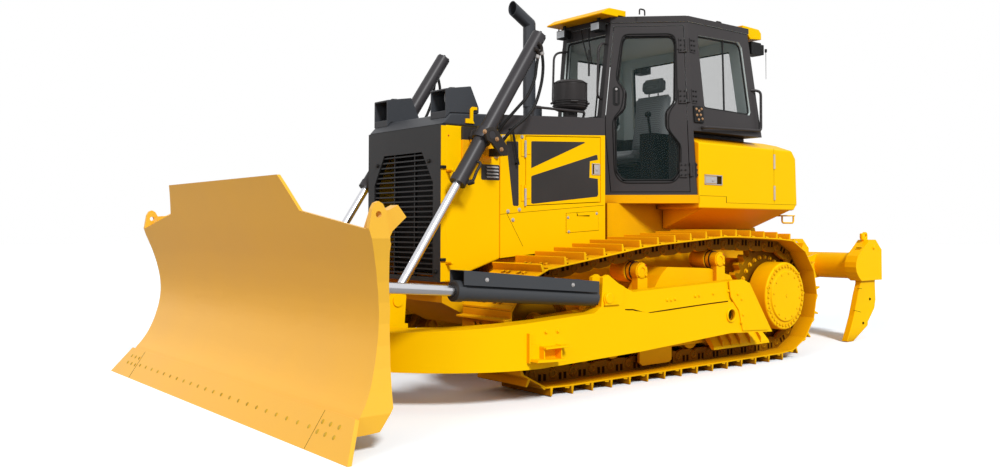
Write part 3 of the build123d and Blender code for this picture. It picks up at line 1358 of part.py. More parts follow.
def lift_rod():
    """The left lift cylinder's rod with its piston and eye."""
    body = rod(LIFT_TOP, LIFT_EYE, LIFT_Y, LIFT_BARREL_RADIUS, LIFT_ROD_RADIUS, LIFT_RETRACTION)
    return body + eye_across(LIFT_EYE, LIFT_Y)


def angle_barrel():
    """The left angle cylinder's barrel with its rear eye on the pin across the arm's bracket."""
    rear = along(ANGLE_PIN, ANGLE_GLAND, ANGLE_REAR)
    x, z = ANGLE_PIN
    low, high = ANGLE_Y - EYE_HALF, ANGLE_Y + EYE_HALF
    eye = cross_bar(x, z, low, high, ANGLE_EYE_RADIUS)
    eye += bar(spaced(ANGLE_PIN, ANGLE_Y), spaced(along(rear, ANGLE_GLAND, 5.0), ANGLE_Y), EYE_HALF - 4)
    eye -= cross_bar(x, z, low - 1.0, high + 1.0, ANGLE_PIN_RADIUS + RUN_CLEARANCE)
    body = eye + barrel(rear, ANGLE_GLAND, ANGLE_Y, ANGLE_BARREL_RADIUS, ANGLE_ROD_RADIUS)
    back, front = along(rear, ANGLE_GLAND, 20.0), along(rear, ANGLE_GLAND, ANGLE_REACH - ANGLE_REAR - 30.0)
    top = ANGLE_BARREL_RADIUS + GUARD_RISE
    edges = [(*back, 40.0), (*front, 42.0), (*front, top), (*back, top - 15.0)]
    inner = [(*back, 0.0), (*front, 0.0), (*front, top - GUARD_PLATE), (*back, top - 15.0 - GUARD_PLATE)]
    guard = slab_xz([(x, z + rise) for x, z, rise in edges], ANGLE_Y - GUARD_HALF, ANGLE_Y + GUARD_HALF)
    half = GUARD_HALF - GUARD_PLATE
    guard -= slab_xz([(x, z + rise) for x, z, rise in inner], ANGLE_Y - half, ANGLE_Y + half)
    for place in (180.0, 1080.0):
        x, z = along(rear, ANGLE_GLAND, place)
        guard += block((x - 25.0, x + 25.0), (ANGLE_Y - 20.0, ANGLE_Y + 20.0),
                       (z + ANGLE_BARREL_RADIUS - BARREL_WALL / 2, z + top - 12.0))
    return body + guard


def angle_rod():
    """The left angle cylinder's rod with its piston and the eye on its upright pin."""
    rear = along(ANGLE_PIN, ANGLE_GLAND, ANGLE_REAR)
    body = rod(rear, ANGLE_EYE, ANGLE_Y, ANGLE_BARREL_RADIUS, ANGLE_ROD_RADIUS, ANGLE_RETRACTION)
    x, z = ANGLE_EYE
    return body + bar((x, ANGLE_Y, z - EYE_HALF), (x, ANGLE_Y, z + EYE_HALF), EYE_RADIUS)


# ================================================================ ripper
def ripper_beam():
    """The ripper's swinging frame: two arms, the round cross beam and the three shank pockets."""
    centre_x, centre_z = RIPPER_BEAM
    frame = cross_bar(centre_x, centre_z, -RIPPER_HALF_WIDTH + 40.0, RIPPER_HALF_WIDTH - 40.0,
                      RIPPER_BEAM_RADIUS)
    high_x = centre_x + RIPPER_BEAM_RADIUS
    low_z, high_z = centre_z - RIPPER_BEAM_RADIUS, centre_z + RIPPER_BEAM_RADIUS
    for side in (-1, 1):
        middle = side * (RIPPER_BRACKET_Y + 2 * PLATE + 6.0)
        frame += slab_xz(
            [
                (RIPPER_PIVOT[0] + 75.0, RIPPER_PIVOT[1] - 60.0),
                (RIPPER_PIVOT[0] + 75.0, RIPPER_PIVOT[1] + 60.0),
                (RIPPER_PIVOT[0] - 60.0, RIPPER_PIVOT[1] + 90.0),
                (centre_x, high_z - 5.0),
                (centre_x, low_z + 5.0),
                (RIPPER_PIVOT[0] - 60.0, RIPPER_PIVOT[1] - 75.0),
            ],
            middle - PLATE,
            middle + PLATE,
        )
        pocket = sorted((side * (RIPPER_HALF_WIDTH - POCKET_WIDTH), side * RIPPER_HALF_WIDTH))
        frame += slab_xz(pocket_outline(), *pocket)
        collar = sorted((side * RIPPER_BEAM_HALF, side * (RIPPER_HALF_WIDTH - POCKET_WIDTH + 1.0)))
        frame += cross_bar(centre_x, centre_z, *collar, RIPPER_BEAM_RADIUS + 10.0)
        frame += lifting_lug(side * (RIPPER_HALF_WIDTH - POCKET_WIDTH / 2))
    frame += slab_xz(pocket_outline(), -60.0, 60.0)
    for y in (-SHANK_Y, 0.0, SHANK_Y):
        frame -= shank_slot(y)
    for side in (-1, 1):
        middle = side * CYLINDER_Y
        for offset in (-EYE_HALF - LUG_GAP - PLATE, EYE_HALF + LUG_GAP):
            frame += slab_xz(
                [
                    (high_x - 120.0, high_z - 10.0),
                    (RIPPER_EYE[0] - 50.0, RIPPER_EYE[1] + 45.0),
                    (RIPPER_EYE[0] + 30.0, RIPPER_EYE[1] + 45.0),
                    (RIPPER_EYE[0] + 55.0, RIPPER_EYE[1]),
                    (high_x + 12.0, low_z + 120.0),
                    (high_x - 120.0, low_z + 90.0),
                ],
                middle + offset,
                middle + offset + PLATE,
            )
    frame += cross_bar(RIPPER_PIVOT[0], RIPPER_PIVOT[1], -RIPPER_BRACKET_Y - 3 * PLATE - 6.0,
                       RIPPER_BRACKET_Y + 3 * PLATE + 6.0, PIN_RADIUS - 0.3)
    return frame


def lifting_lug(y):
    """The upright eye on top of an outer shank pocket."""
    x, z = RIPPER_REAR + 240.0, 1130.0
    lug = block((x - 38.0, x + 38.0), (y - 14.0, y + 14.0), (z - 60.0, z))
    lug += cross_bar(x, z, y - 14.0, y + 14.0, 38.0)
    return lug - cross_bar(x, z, y - 15.0, y + 15.0, 16.0)


def pocket_outline():
    """A shank pocket's side: square at the back, rounded round the beam in front."""
    return [
        (RIPPER_REAR, 640.0),
        (RIPPER_REAR, 975.0),
        (RIPPER_REAR + 130.0, 1085.0),
        (RIPPER_REAR + 262.0, 1082.0),
        (RIPPER_REAR + 501.0, 911.0),
        (RIPPER_REAR + 538.0, 845.0),
        (RIPPER_REAR + 546.0, 790.0),
        (RIPPER_REAR + 530.0, 735.0),
        (RIPPER_REAR + 490.0, 685.0),
        (RIPPER_REAR + 431.0, 640.0),
    ]


def shank_slot(y):
    half = SHANK_WIDTH / 2 + RUN_CLEARANCE
    return block((SHANK_BACK - 3.0, SHANK_FRONT + 3.0), (y - half, y + half), (600.0, 1000.0))


def shanks():
    """The three ripper shanks, curved forward to their points, with the tooth at the foot."""
    outline = [
        (SHANK_BACK, 630.0),
        (SHANK_BACK, 990.0),
        (SHANK_FRONT, 990.0),
        (SHANK_FRONT, 610.0),
        (SHANK_FRONT + 50.0, 507.0),
        (SHANK_FRONT + 140.0, 273.0),
        (SHANK_FRONT + 218.0, 123.0),
        (SHANK_FRONT + 286.0, 8.0),
        (SHANK_FRONT + 276.0, 0.0),
        (SHANK_FRONT + 160.0, 0.0),
        (SHANK_FRONT - 143.0, 150.0),
        (SHANK_FRONT - 148.0, 190.0),
        (SHANK_BACK + 17.0, 329.0),
        (SHANK_BACK - 10.0, 420.0),
    ]
    half = SHANK_WIDTH / 2
    return [slab_xz(outline, y - half, y + half) for y in (-SHANK_Y, 0.0, SHANK_Y)]


def ripper_cylinder():
    """The two ripper cylinders' barrels, and their rods, on one pair of pin lines."""
    top, eye = RIPPER_TOP_PIN, RIPPER_EYE
    length = hypot(eye[0] - top[0], eye[1] - top[1])
    gland = along(top, eye, length - RIPPER_RETRACTION - EYE_RADIUS - 10.0)
    rear = along(top, eye, 70.0)
    barrels, rods = [], []
    for y in (-CYLINDER_Y, CYLINDER_Y):
        body = barrel(rear, gland, y, RIPPER_BARREL_RADIUS, RIPPER_ROD_RADIUS)
        eye_end = cross_bar(top[0], top[1], y - EYE_HALF, y + EYE_HALF, EYE_RADIUS - 6.0)
        eye_end += bar(spaced(top, y), spaced(along(top, eye, 75.0), y), EYE_HALF - 4.0)
        eye_end -= cross_bar(top[0], top[1], y - 99.0, y + 99.0, PIN_RADIUS + RUN_CLEARANCE)
        barrels.append(body + eye_end)
        piston_rod = rod(rear, eye, y, RIPPER_BARREL_RADIUS, RIPPER_ROD_RADIUS, RIPPER_RETRACTION)
        rods.append(piston_rod + eye_across(eye, y))
    return barrels, rods


# ================================================================ the whole machine
os.makedirs("parts", exist_ok=True)

save("main_frame", main_frame())
left = track_frame()
save("left_track_frame", left)
save("right_track_frame", mirrored(left))
left = track_loop()
save("left_track", left)
save("right_track", mirrored(left))
for name, piece in [("sprockets", sprocket()), ("final_drives", final_drive()), ("idlers", idler())]:
    save(name, piece, mirrored(piece))
left = [roller(x, z, radius, FRAME_WIDTH / 2 - RUN_CLEARANCE) for x, z, radius in roller_places()]
save("rollers", *left, *[mirrored(piece) for piece in left])
save("engine_block", engine_block())
save("radiator_core", radiator_core())
save("hood", hood())
left = engine_door()
save("left_engine_door", left)
save("right_engine_door", mirrored(left))
save("nose_housing", nose_housing())
save("nose_cap", nose_cap())
save("grille", grille())
left = lift_yoke()
save("lift_yokes", left, mirrored(left))
save("exhaust_stack", exhaust_stack())
save("air_cleaner", air_cleaner())
save("work_lamps", *work_lamps())
save("cab_shell", cab_shell())
save("cab_glass", *cab_glass())
save("visors", *visors())
save("seat", seat())
save("console", *console())
save("rear_tank", rear_tank())
MIRRORED_PAIRS = [
    ("cab_door", cab_door()),
    ("door_glass", door_glass()),
    ("lift_barrel", lift_barrel()),
    ("lift_rod", lift_rod()),
    ("angle_barrel", angle_barrel()),
    ("angle_rod", angle_rod()),
]
for name, piece in MIRRORED_PAIRS:
    save("left_" + name, piece)
    save("right_" + name, mirrored(piece))
save("push_frame", push_frame())
save("blade", blade())
save("cutting_edges", *cutting_edges())
save("ripper_beam", ripper_beam())
save("ripper_shanks", *shanks())
barrels, rods = ripper_cylinder()
save("ripper_barrels", *barrels)
save("ripper_rods", *rods)
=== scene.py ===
"""A crawler dozer with an angling blade and a three-shank ripper, dressed part by part."""
import math

import bmesh
import bpy
from mathutils import Matrix, Vector


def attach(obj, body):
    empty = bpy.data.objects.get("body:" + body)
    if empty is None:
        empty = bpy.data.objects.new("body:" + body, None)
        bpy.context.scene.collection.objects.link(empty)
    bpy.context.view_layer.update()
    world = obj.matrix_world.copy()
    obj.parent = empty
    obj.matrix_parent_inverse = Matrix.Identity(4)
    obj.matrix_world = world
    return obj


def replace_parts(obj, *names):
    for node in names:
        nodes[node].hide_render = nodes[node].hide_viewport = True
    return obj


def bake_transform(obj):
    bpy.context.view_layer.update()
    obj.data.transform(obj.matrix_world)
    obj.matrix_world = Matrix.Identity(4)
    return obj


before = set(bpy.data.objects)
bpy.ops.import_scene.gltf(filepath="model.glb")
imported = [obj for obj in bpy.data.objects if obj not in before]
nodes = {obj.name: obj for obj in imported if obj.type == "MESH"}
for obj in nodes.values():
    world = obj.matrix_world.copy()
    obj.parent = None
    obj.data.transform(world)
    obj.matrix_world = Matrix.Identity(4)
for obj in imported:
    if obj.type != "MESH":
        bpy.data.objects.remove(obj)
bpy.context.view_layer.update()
scene = bpy.context.scene
scene.view_settings.view_transform = "Standard"

# ---------------- the standpoint
# A hand-held long view from in front of the left track, near the height of the operator's step.
eye = Vector((5.93, 6.074, 1.209))
aim = Vector((0.8226, 0.0, 1.4426))
view = bpy.data.cameras.new("standpoint")
view.sensor_width = 36.0
view.lens = 32.558
view.shift_x = -0.01879
view.shift_y = -0.03385
standpoint = bpy.data.objects.new("standpoint", view)
turn = (aim - eye).to_track_quat("-Z", "Y").to_matrix().to_4x4()
standpoint.matrix_world = Matrix.Translation(eye) @ turn @ Matrix.Rotation(math.radians(0.09), 4, "Z")
scene.collection.objects.link(standpoint)
scene.camera = standpoint

# ---------------- studio floor and light
# A sheet of pale floor under a white sky, with one soft lamp high on the machine's left side
# and a wide one low in front of the blade. The floor keeps the machine's shadow.


def reckon(tree, rule, first, second):
    """Works one sum on a value and another value or number."""
    sum_ = tree.nodes.new("ShaderNodeMath")
    sum_.operation = rule
    tree.links.new(first, sum_.inputs[0])
    if isinstance(second, float):
        sum_.inputs[1].default_value = second
    else:
        tree.links.new(second, sum_.inputs[1])
    return sum_.outputs[0]


floor_mesh = bpy.data.meshes.new("floor")
floor_mesh.from_pydata([(-60, -60, 0), (60, -60, 0), (60, 60, 0), (-60, 60, 0)], [], [(0, 1, 2, 3)])
floor = bpy.data.objects.new("floor", floor_mesh)
scene.collection.objects.link(floor)
floor_paint = bpy.data.materials.new("studio_floor")
floor_paint.use_nodes = True
floor_tree = floor_paint.node_tree
floor_tree.nodes.remove(floor_tree.nodes["Principled BSDF"])
floor_sheen = floor_tree.nodes.new("ShaderNodeBsdfDiffuse")
floor_rays = floor_tree.nodes.new("ShaderNodeLightPath").outputs
floor_white = floor_tree.nodes.new("ShaderNodeMix")
floor_white.data_type = "RGBA"
floor_white.inputs["A"].default_value = (0.46, 0.46, 0.46, 1)
floor_white.inputs["B"].default_value = (1.14, 1.22, 1.28, 1)
floor_seen = reckon(floor_tree, "MAXIMUM", floor_rays["Is Camera Ray"], floor_rays["Is Transmission Ray"])
floor_tree.links.new(floor_seen, floor_white.inputs["Factor"])
floor_tree.links.new(floor_white.outputs["Result"], floor_sheen.inputs["Color"])
floor_tree.links.new(floor_sheen.outputs[0], floor_tree.nodes["Material Output"].inputs["Surface"])
floor_mesh.materials.append(floor_paint)

sky = bpy.data.worlds.new("studio")
sky.use_nodes = True
sky_nodes, sky_links = sky.node_tree.nodes, sky.node_tree.links
sky_light = sky_nodes["Background"]
sky_light.inputs["Color"].default_value = (0.97, 0.985, 1.0, 1)
sky_light.inputs["Strength"].default_value = 0.32
sky_seen = sky_nodes.new("ShaderNodeBackground")
sky_seen.inputs["Color"].default_value = (1, 1, 1, 1)
sky_seen.inputs["Strength"].default_value = 1.0
rays = sky_nodes.new("ShaderNodeLightPath").outputs
either = reckon(sky.node_tree, "MAXIMUM", rays["Is Camera Ray"], rays["Is Transmission Ray"])
any_seen = reckon(sky.node_tree, "MAXIMUM", either, rays["Is Glossy Ray"])
sky_choice = sky_nodes.new("ShaderNodeMixShader")
sky_links.new(any_seen, sky_choice.inputs[0])
sky_links.new(sky_light.outputs[0], sky_choice.inputs[1])
sky_links.new(sky_seen.outputs[0], sky_choice.inputs[2])
sky_links.new(sky_choice.outputs[0], sky_nodes["World Output"].inputs["Surface"])
scene.world = sky

for name, energy, spread, direction in [
    ("key", 2.72, 12.0, (0.3, 1.0, 0.82)),
    ("fill", 0.85, 40.0, (1.0, 0.2, 0.4)),
]:
    lamp = bpy.data.lights.new(name, "SUN")
    lamp.energy = energy
    lamp.angle = math.radians(spread)
    holder = bpy.data.objects.new(name, lamp)
    holder.rotation_euler = Vector(direction).to_track_quat("Z", "Y").to_euler()
    scene.collection.objects.link(holder)

# ---------------- main frame
# The case-and-frame weldment that carries engine, cab, drives and ripper. It is thick steel
# plate, welded and sprayed yellow; faces turned down or end-on and its hollows take a warmer, deeper painted
# shade.


def round_edges(part, width, keep, steps=2):
    """Rounds the edges of a part that turn by more than keep degrees."""
    round_off = part.modifiers.new("ground_edges", "BEVEL")
    round_off.width = width
    round_off.segments = steps
    round_off.limit_method = "ANGLE"
    round_off.angle_limit = math.radians(keep)
    return round_off


def wear(name, sheen):
    """Starts a finish: its shader and the slow and fine noises that every finish here uses."""
    finish = bpy.data.materials.new(name)
    finish.use_nodes = True
    tree = finish.node_tree
    shader = tree.nodes["Principled BSDF"]
    for socket, value in sheen.items():
        shader.inputs[socket].default_value = value
    place = tree.nodes.new("ShaderNodeTexCoord").outputs["Object"]
    noises = []
    for scale, detail in ((1.7, 5.0), (60.0, 4.0)):
        noise = tree.nodes.new("ShaderNodeTexNoise")
        noise.inputs["Scale"].default_value = scale
        noise.inputs["Detail"].default_value = detail
        tree.links.new(place, noise.inputs["Vector"])
        noises.append(noise.outputs["Fac"])
    return finish, tree, shader, *noises


def blend_colours(tree, factor, first, second):
    """Mixes two colours, each a fixed colour or another node's output."""
    mix = tree.nodes.new("ShaderNodeMix")
    mix.data_type = "RGBA"
    tree.links.new(factor, mix.inputs["Factor"])
    for socket, colour in ((mix.inputs["A"], first), (mix.inputs["B"], second)):
        if isinstance(colour, tuple):
            socket.default_value = (*colour, 1)
        else:
            tree.links.new(colour, socket)
    return mix.outputs["Result"]


def stretch(tree, value, low, high, start=0.0, end=1.0):
    """Spreads a value from low to high over start to end."""
    span = tree.nodes.new("ShaderNodeMapRange")
    span.inputs["From Min"].default_value = low
    span.inputs["From Max"].default_value = high
    span.inputs["To Min"].default_value = start
    span.inputs["To Max"].default_value = end
    tree.links.new(value, span.inputs["Value"])
    return span.outputs["Result"]


def raised(tree, shader, value, height):
    """Presses a value into the surface as a fine relief."""
    relief = tree.nodes.new("ShaderNodeBump")
    relief.inputs["Strength"].default_value = 0.35
    relief.inputs["Distance"].default_value = height
    tree.links.new(value, relief.inputs["Height"])
    tree.links.new(relief.outputs["Normal"], shader.inputs["Normal"])


def axes(tree, vector):
    """The three parts of a place or of a direction."""
    parts = tree.nodes.new("ShaderNodeSeparateXYZ")
    tree.links.new(vector, parts.inputs[0])
    return parts.outputs


def enamel(name, lit, painted_shade, dust, grime=0.25, relief=0.0004, roughness=0.42, hollow_shade=None, gleam=0.05):
    """Sprayed enamel: clean colour, with a deeper colour painted as shade where faces turn down or end-on,
    and a little dust.

    The hollow colour is painted shade that gathers where surfaces close in on each other.
    """
    finish, tree, shader, slow, fine = wear(name, {"Roughness": roughness,
        "Specular IOR Level": gleam})
    facing_way = axes(tree, tree.nodes.new("ShaderNodeNewGeometry").outputs["Normal"])
    side = reckon(tree, "ABSOLUTE", facing_way["Y"], 0.0)
    upward = reckon(tree, "MULTIPLY", facing_way["Z"], 0.6)
    turned_out = reckon(tree, "ADD", upward, side)
    # Painted shade: the deep colour goes on faces that turn down or end-on, the lit colour on faces turned
    # sideways or up.
    colour = blend_colours(tree, stretch(tree, turned_out, 0.05, 0.85), painted_shade, lit)
    mottled = stretch(tree, slow, 0.35, 0.75, 0.0, grime)
    colour = blend_colours(tree, mottled, colour, dust)
    specks = stretch(tree, fine, 0.62, 0.8, 0.0, grime)
    colour = blend_colours(tree, specks, colour, dust)
    if hollow_shade:
        # Painted shade: the closer other surfaces stand, the more the hollow colour covers the paint.
        closeness = tree.nodes.new("ShaderNodeAmbientOcclusion")
        closeness.samples = 4
        closeness.inputs["Distance"].default_value = 0.16
        colour = blend_colours(tree, stretch(tree, closeness.outputs["AO"], 0.25, 0.85), hollow_shade, colour)
    tree.links.new(colour, shader.inputs["Base Color"])
    raised(tree, shader, fine, relief)
    return finish


# The deep yellow is painted shade for faces turned down or end-on; the dust yellow is dust.
YELLOW = (1.0, 0.585, 0.0)
SHADED_YELLOW = (1.0, 0.4, 0.0)
DUST_YELLOW = (0.94, 0.52, 0.0)
yellow = enamel("yellow_enamel", YELLOW, SHADED_YELLOW, DUST_YELLOW, 0.22)
hull_yellow = enamel("hull_enamel", (0.95, 0.48, 0.0), (0.86, 0.3, 0.0), (0.6, 0.28, 0.01),
    0.4, hollow_shade=(0.3, 0.1, 0.005))


def dress(finish, *names):
    """Puts one finish on every face of the named CAD nodes."""
    for name in names:
        part = nodes[name]
        part.data.materials.clear()
        part.data.materials.append(finish)


def steel(finish, width, *names, keep=30.0, steps=2):
    """Gives CAD nodes one finish and the small round that grinding and paint leave on cut edges."""
    for name in names:
        part = nodes[name]
        weld = part.modifiers.new("one_skin", "WELD")
        weld.merge_threshold = 0.0001
        skin = part.modifiers.new("flat_faces", "DECIMATE")
        skin.decimate_type = "DISSOLVE"
        skin.angle_limit = math.radians(0.8)
        round_edges(part, width, keep, steps)
        shading = part.modifiers.new("even_shading", "WEIGHTED_NORMAL")
        shading.keep_sharp = True
    dress(finish, *names)


steel(hull_yellow, 0.006, "main_frame")

# ---------------- engine and cooler core
# The engine block and the cooler behind the grille are cast and brazed metal under black paint,
# seen only in glimpses through the grille and past the doors.


def cast_black(name, light, dark, roughness, relief, gleam=0.2):
    """Rough black casting paint with a paler bloom where dust lies."""
    finish, tree, shader, slow, fine = wear(name, {"Roughness": roughness,
        "Specular IOR Level": gleam})
    colour = blend_colours(tree, stretch(tree, slow, 0.35, 0.7), dark, light)
    tree.links.new(colour, shader.inputs["Base Color"])
    tree.links.new(stretch(tree, fine, 0.3, 0.7, roughness - 0.08, roughness + 0.1),
        shader.inputs["Roughness"])
    raised(tree, shader, fine, relief)
    return finish


engine_black = cast_black("engine_black", (0.02, 0.02, 0.022), (0.01, 0.01, 0.011), 0.6,
    0.002)
steel(engine_black, 0.008, "engine_block")
steel(engine_black, 0.004, "radiator_core")

# ---------------- track frames
# Welded box frames. Each carries two forged carrier brackets with cap bolts, a bolted side guard,
# a roller guard with gussets at the rear and a cast guide under the idler.
SIDE = Matrix(((1, 0, 0, 0), (0, 0, 1, 0), (0, 1, 0, 0), (0, 0, 0, 1)))
END = Matrix(((0, 0, 1, 0), (1, 0, 0, 0), (0, 1, 0, 0), (0, 0, 0, 1)))
FORWARD, LEFT, UP = (1, 0, 0), (0, 1, 0), (0, 0, 1)


def facing(way):
    """Turns a drawing's third direction to face a way on the machine."""
    return Vector(way).to_track_quat("Z", "Y").to_matrix().to_4x4()


def plate(work, outline, low, high, lay=SIDE):
    """Adds a plate from its drawn outline, between two levels of the drawing's third direction."""
    lower = [work.verts.new(lay @ Vector((u, v, low))) for u, v in outline]
    upper = [work.verts.new(lay @ Vector((u, v, high))) for u, v in outline]
    work.faces.new(lower)
    work.faces.new(upper)
    for here in range(len(outline)):
        work.faces.new((lower[here - 1], lower[here], upper[here], upper[here - 1]))


def box_plate(work, left, right, bottom, top, low, high, lay=SIDE):
    """Adds a plain oblong plate."""
    plate(work, [(left, bottom), (right, bottom), (right, top), (left, top)], low, high, lay)


def turned(work, profile, at, way, sides=32, ring=False):
    """Adds a lathe-turned piece: its (radius, height) profile spun about an axis facing a way.

    A ring's profile goes right round its section, so its middle stays open.
    """
    lay = Matrix.Translation(Vector(at)) @ facing(way)
    rings = []
    for radius, height in profile:
        angles = [2 * math.pi * step / sides for step in range(sides)]
        rings.append([work.verts.new(lay @ Vector((radius * math.cos(a), radius * math.sin(a),
            height))) for a in angles])
    for lower, upper in zip(rings, rings[1:] + rings[:1] if ring else rings[1:]):
        for here in range(sides):
            work.faces.new((lower[here - 1], lower[here], upper[here], upper[here - 1]))
    if not ring:
        work.faces.new(rings[0])
        work.faces.new(rings[-1])


def bolt_heads(work, places, way, flats=0.03, washer=True):
    """Adds hexagon heads, on washers where they have them, all facing one way."""
    for spot in places:
        if washer:
            turned(work, [(flats * 0.8, -0.003), (flats * 0.8, 0.003), (flats * 0.74, 0.004)], spot, way, 18)
        turned(work, [(flats * 0.57, -0.003), (flats * 0.57, flats * 0.5), (flats * 0.46, flats * 0.6)],
            spot, way, 6)


def on_ring(centre, radius, count, y, start=0.0):
    """Places on a circle that stands upright along the machine's side."""
    return [(centre[0] + radius * math.cos(start + 2 * math.pi * step / count), y,
        centre[1] + radius * math.sin(start + 2 * math.pi * step / count)) for step in range(count)]


def on_side(y, *spots):
    """Places, by length and height, on an upright face along the machine's side."""
    return [(x, y, z) for x, z in spots]


def finished(name, work, finish, body="chassis", edge=0.0):
    """Makes one piece of what was drawn, softens its edges and rides it on its body.

    The drawing is wiped.
    """
    bmesh.ops.recalc_face_normals(work, faces=work.faces)
    mesh = bpy.data.meshes.new(name)
    work.to_mesh(mesh)
    work.clear()
    for face in mesh.polygons:
        face.use_smooth = True
    mesh.set_sharp_from_angle(angle=math.radians(32))
    mesh.materials.append(finish)
    piece = bpy.data.objects.new(name, mesh)
    scene.collection.objects.link(piece)
    if edge:
        round_edges(piece, edge, 35).harden_normals = True
    if body:
        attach(piece, body)
    return piece


def both_sides(name, work, finish, body="chassis", edge=0.0):
    """Makes a left piece of what was drawn, and its mirror image for the right.

    A star in the body's name stands for the side.
    """
    mirrored = work.copy()
    bmesh.ops.scale(mirrored, vec=(1, -1, 1), verts=mirrored.verts)
    finished("left_" + name, work, finish, body.replace("*", "left"), edge)
    finished("right_" + name, mirrored, finish, body.replace("*", "right"), edge)
    mirrored.free()


# Painted shade: the frame's hollows take a dark brown.
frame_yellow = enamel("frame_enamel", (1.0, 0.58, 0.0), (0.98, 0.37, 0.0), (0.8, 0.4, 0.005),
    0.3, hollow_shade=(0.42, 0.15, 0.004))
red_mark = cast_black("assembly_marker", (0.62, 0.045, 0.01), (0.55, 0.03, 0.01), 0.5,
    0.0004)
steel(frame_yellow, 0.006, "left_track_frame", "right_track_frame")
TRACK_Y = 0.975
BRACKET_FACE = 1.153
CARRIER_PLACES = [(0.505, 0.863), (-0.503, 0.933)]
# Every piece is drawn on this one board, which is wiped as the piece is finished.
work = bmesh.new()
marks = bmesh.new()
for x, z in CARRIER_PLACES:
    bolt_heads(work, on_side(BRACKET_FACE, (x - 0.04, z - 0.03), (x + 0.04, z - 0.03)), LEFT, 0.026)
    turned(work, [(0.058, -0.01), (0.058, 0.006), (0.05, 0.01), (0.03, 0.01), (0.026, 0.004)],
        (x, BRACKET_FACE, z), LEFT, 28)
    turned(marks, [(0.016, -0.002), (0.016, 0.006), (0.011, 0.008)], (x - 0.035, BRACKET_FACE, z + 0.036),
        LEFT, 14)
both_sides("carrier_caps", work, frame_yellow)
both_sides("carrier_plugs", marks, red_mark)
# Painted shade: black rings at each carrier roller's ends stand for the shaded gaps there.
for x, z in CARRIER_PLACES:
    for y in (1.043, 1.084):
        turned(work, [(0.06, 0.0), (0.0785, 0.0), (0.0785, 0.006), (0.06, 0.006)], (x, y, z), LEFT, 32,
            ring=True)
both_sides("carrier_gap_shades", work, cast_black("carrier_gap_shade", (0.012, 0.01, 0.009),
    (0.006, 0.005, 0.005), 0.6, 0.0003))

for x in (-0.955, -0.8, -0.653, -0.53, -0.407):
    plate(work, [(1.16, 0.33), (1.192, 0.33), (1.257, 0.24), (1.257, 0.196), (1.246, 0.196)], x - 0.006,
        x + 0.006, END)
both_sides("roller_guard_gussets", work, frame_yellow, edge=0.002)

# ---------------- rollers
# Seven flanged track rollers and two carriers each side, turned steel with bolted end caps.
steel(frame_yellow, 0.004, "rollers")

# ---------------- tracks
# Forged links and rolled single-grouser shoes, dip painted yellow over a rough rolled skin, with
# a painted brown shade in the hollows. Two bolts hold each link to its shoe, and each pin shows a boss.
PITCH = 0.2032
SPROCKET_CENTRE = (-1.341, 0.128 + PITCH / 2 / math.sin(math.pi / 14))
IDLER_CENTRE = (1.532, 0.49)
IDLER_PINS = 0.362
CARRIED_PINS = [(0.505, 1.003), (-0.503, 1.073)]
SHOE_FACE = 0.071


def leaves_at(centre, radius, point, side):
    """The angle on a wheel at which the chain leaves it towards a point."""
    away = math.atan2(point[1] - centre[1], point[0] - centre[0])
    reach = math.hypot(point[0] - centre[0], point[1] - centre[1])
    return away - side * math.acos(radius / reach)


def chain_pins():
    """The pins' places: along the ground, round the idler, over the carriers, round the sprocket."""
    radius = PITCH / 2 / math.sin(math.pi / 14)
    front = leaves_at(IDLER_CENTRE, IDLER_PINS, CARRIED_PINS[0], 1) % (2 * math.pi)
    rear = leaves_at(SPROCKET_CENTRE, radius, CARRIED_PINS[1], -1) % (2 * math.pi)
    ground = IDLER_CENTRE[1] - IDLER_PINS
    path = [Vector((SPROCKET_CENTRE[0], ground)), Vector((IDLER_CENTRE[0], ground))]
    turns = 60
    for step in range(1, turns + 1):
        angle = -math.pi / 2 + (front + math.pi / 2) * step / turns
        path.append(Vector((IDLER_CENTRE[0] + IDLER_PINS * math.cos(angle),
            IDLER_CENTRE[1] + IDLER_PINS * math.sin(angle))))
    path += [Vector(spot) for spot in CARRIED_PINS]
    for step in range(turns + 1):
        angle = rear + (1.5 * math.pi - rear) * step / turns
        path.append(Vector((SPROCKET_CENTRE[0] + radius * math.cos(angle),
            SPROCKET_CENTRE[1] + radius * math.sin(angle))))
    runs = [(here, after, (after - here).length) for here, after in zip(path, path[1:])]
    loop = sum(run[2] for run in runs)
    count = round(loop / PITCH)
    pins = []
    for index in range(count):
        travel = (index + 0.5) * loop / count
        for here, after, length in runs:
            if travel <= length:
                break
            travel -= length
        pins.append(here.lerp(after, travel / length))
    return pins


# Painted shade: the track's faces turned down or end-on take a deeper orange, and its hollows a dark brown.
track_yellow = enamel("track_enamel", (0.98, 0.54, 0.0), (0.9, 0.35, 0.0),
    (0.62, 0.29, 0.006), 0.4, 0.0015, 0.5, hollow_shade=(0.34, 0.12, 0.004))


def recoloured(finish, colour, where):
    """Lays a second colour over a finish, as far as a rule of place and facing says."""
    tree = finish.node_tree
    base = tree.nodes["Principled BSDF"].inputs["Base Color"]
    place = tree.nodes.new("ShaderNodeTexCoord").outputs["Object"]
    facing_way = tree.nodes.new("ShaderNodeNewGeometry").outputs["Normal"]
    share = where(tree, place, facing_way)
    tree.links.new(blend_colours(tree, share, base.links[0].from_socket, colour), base)


def browned_link_sides(tree, place, facing_way):
    """The sides of the links, darkened to brown."""
    from_middle = reckon(tree, "SUBTRACT", reckon(tree, "ABSOLUTE", axes(tree, place)["Y"], 0.0), TRACK_Y)
    near_chain = reckon(tree, "LESS_THAN", reckon(tree, "ABSOLUTE", from_middle, 0.0), 0.116)
    side_on = reckon(tree, "ABSOLUTE", axes(tree, facing_way)["Y"], 0.0)
    return reckon(tree, "MULTIPLY", reckon(tree, "MULTIPLY", near_chain, side_on), 0.8)


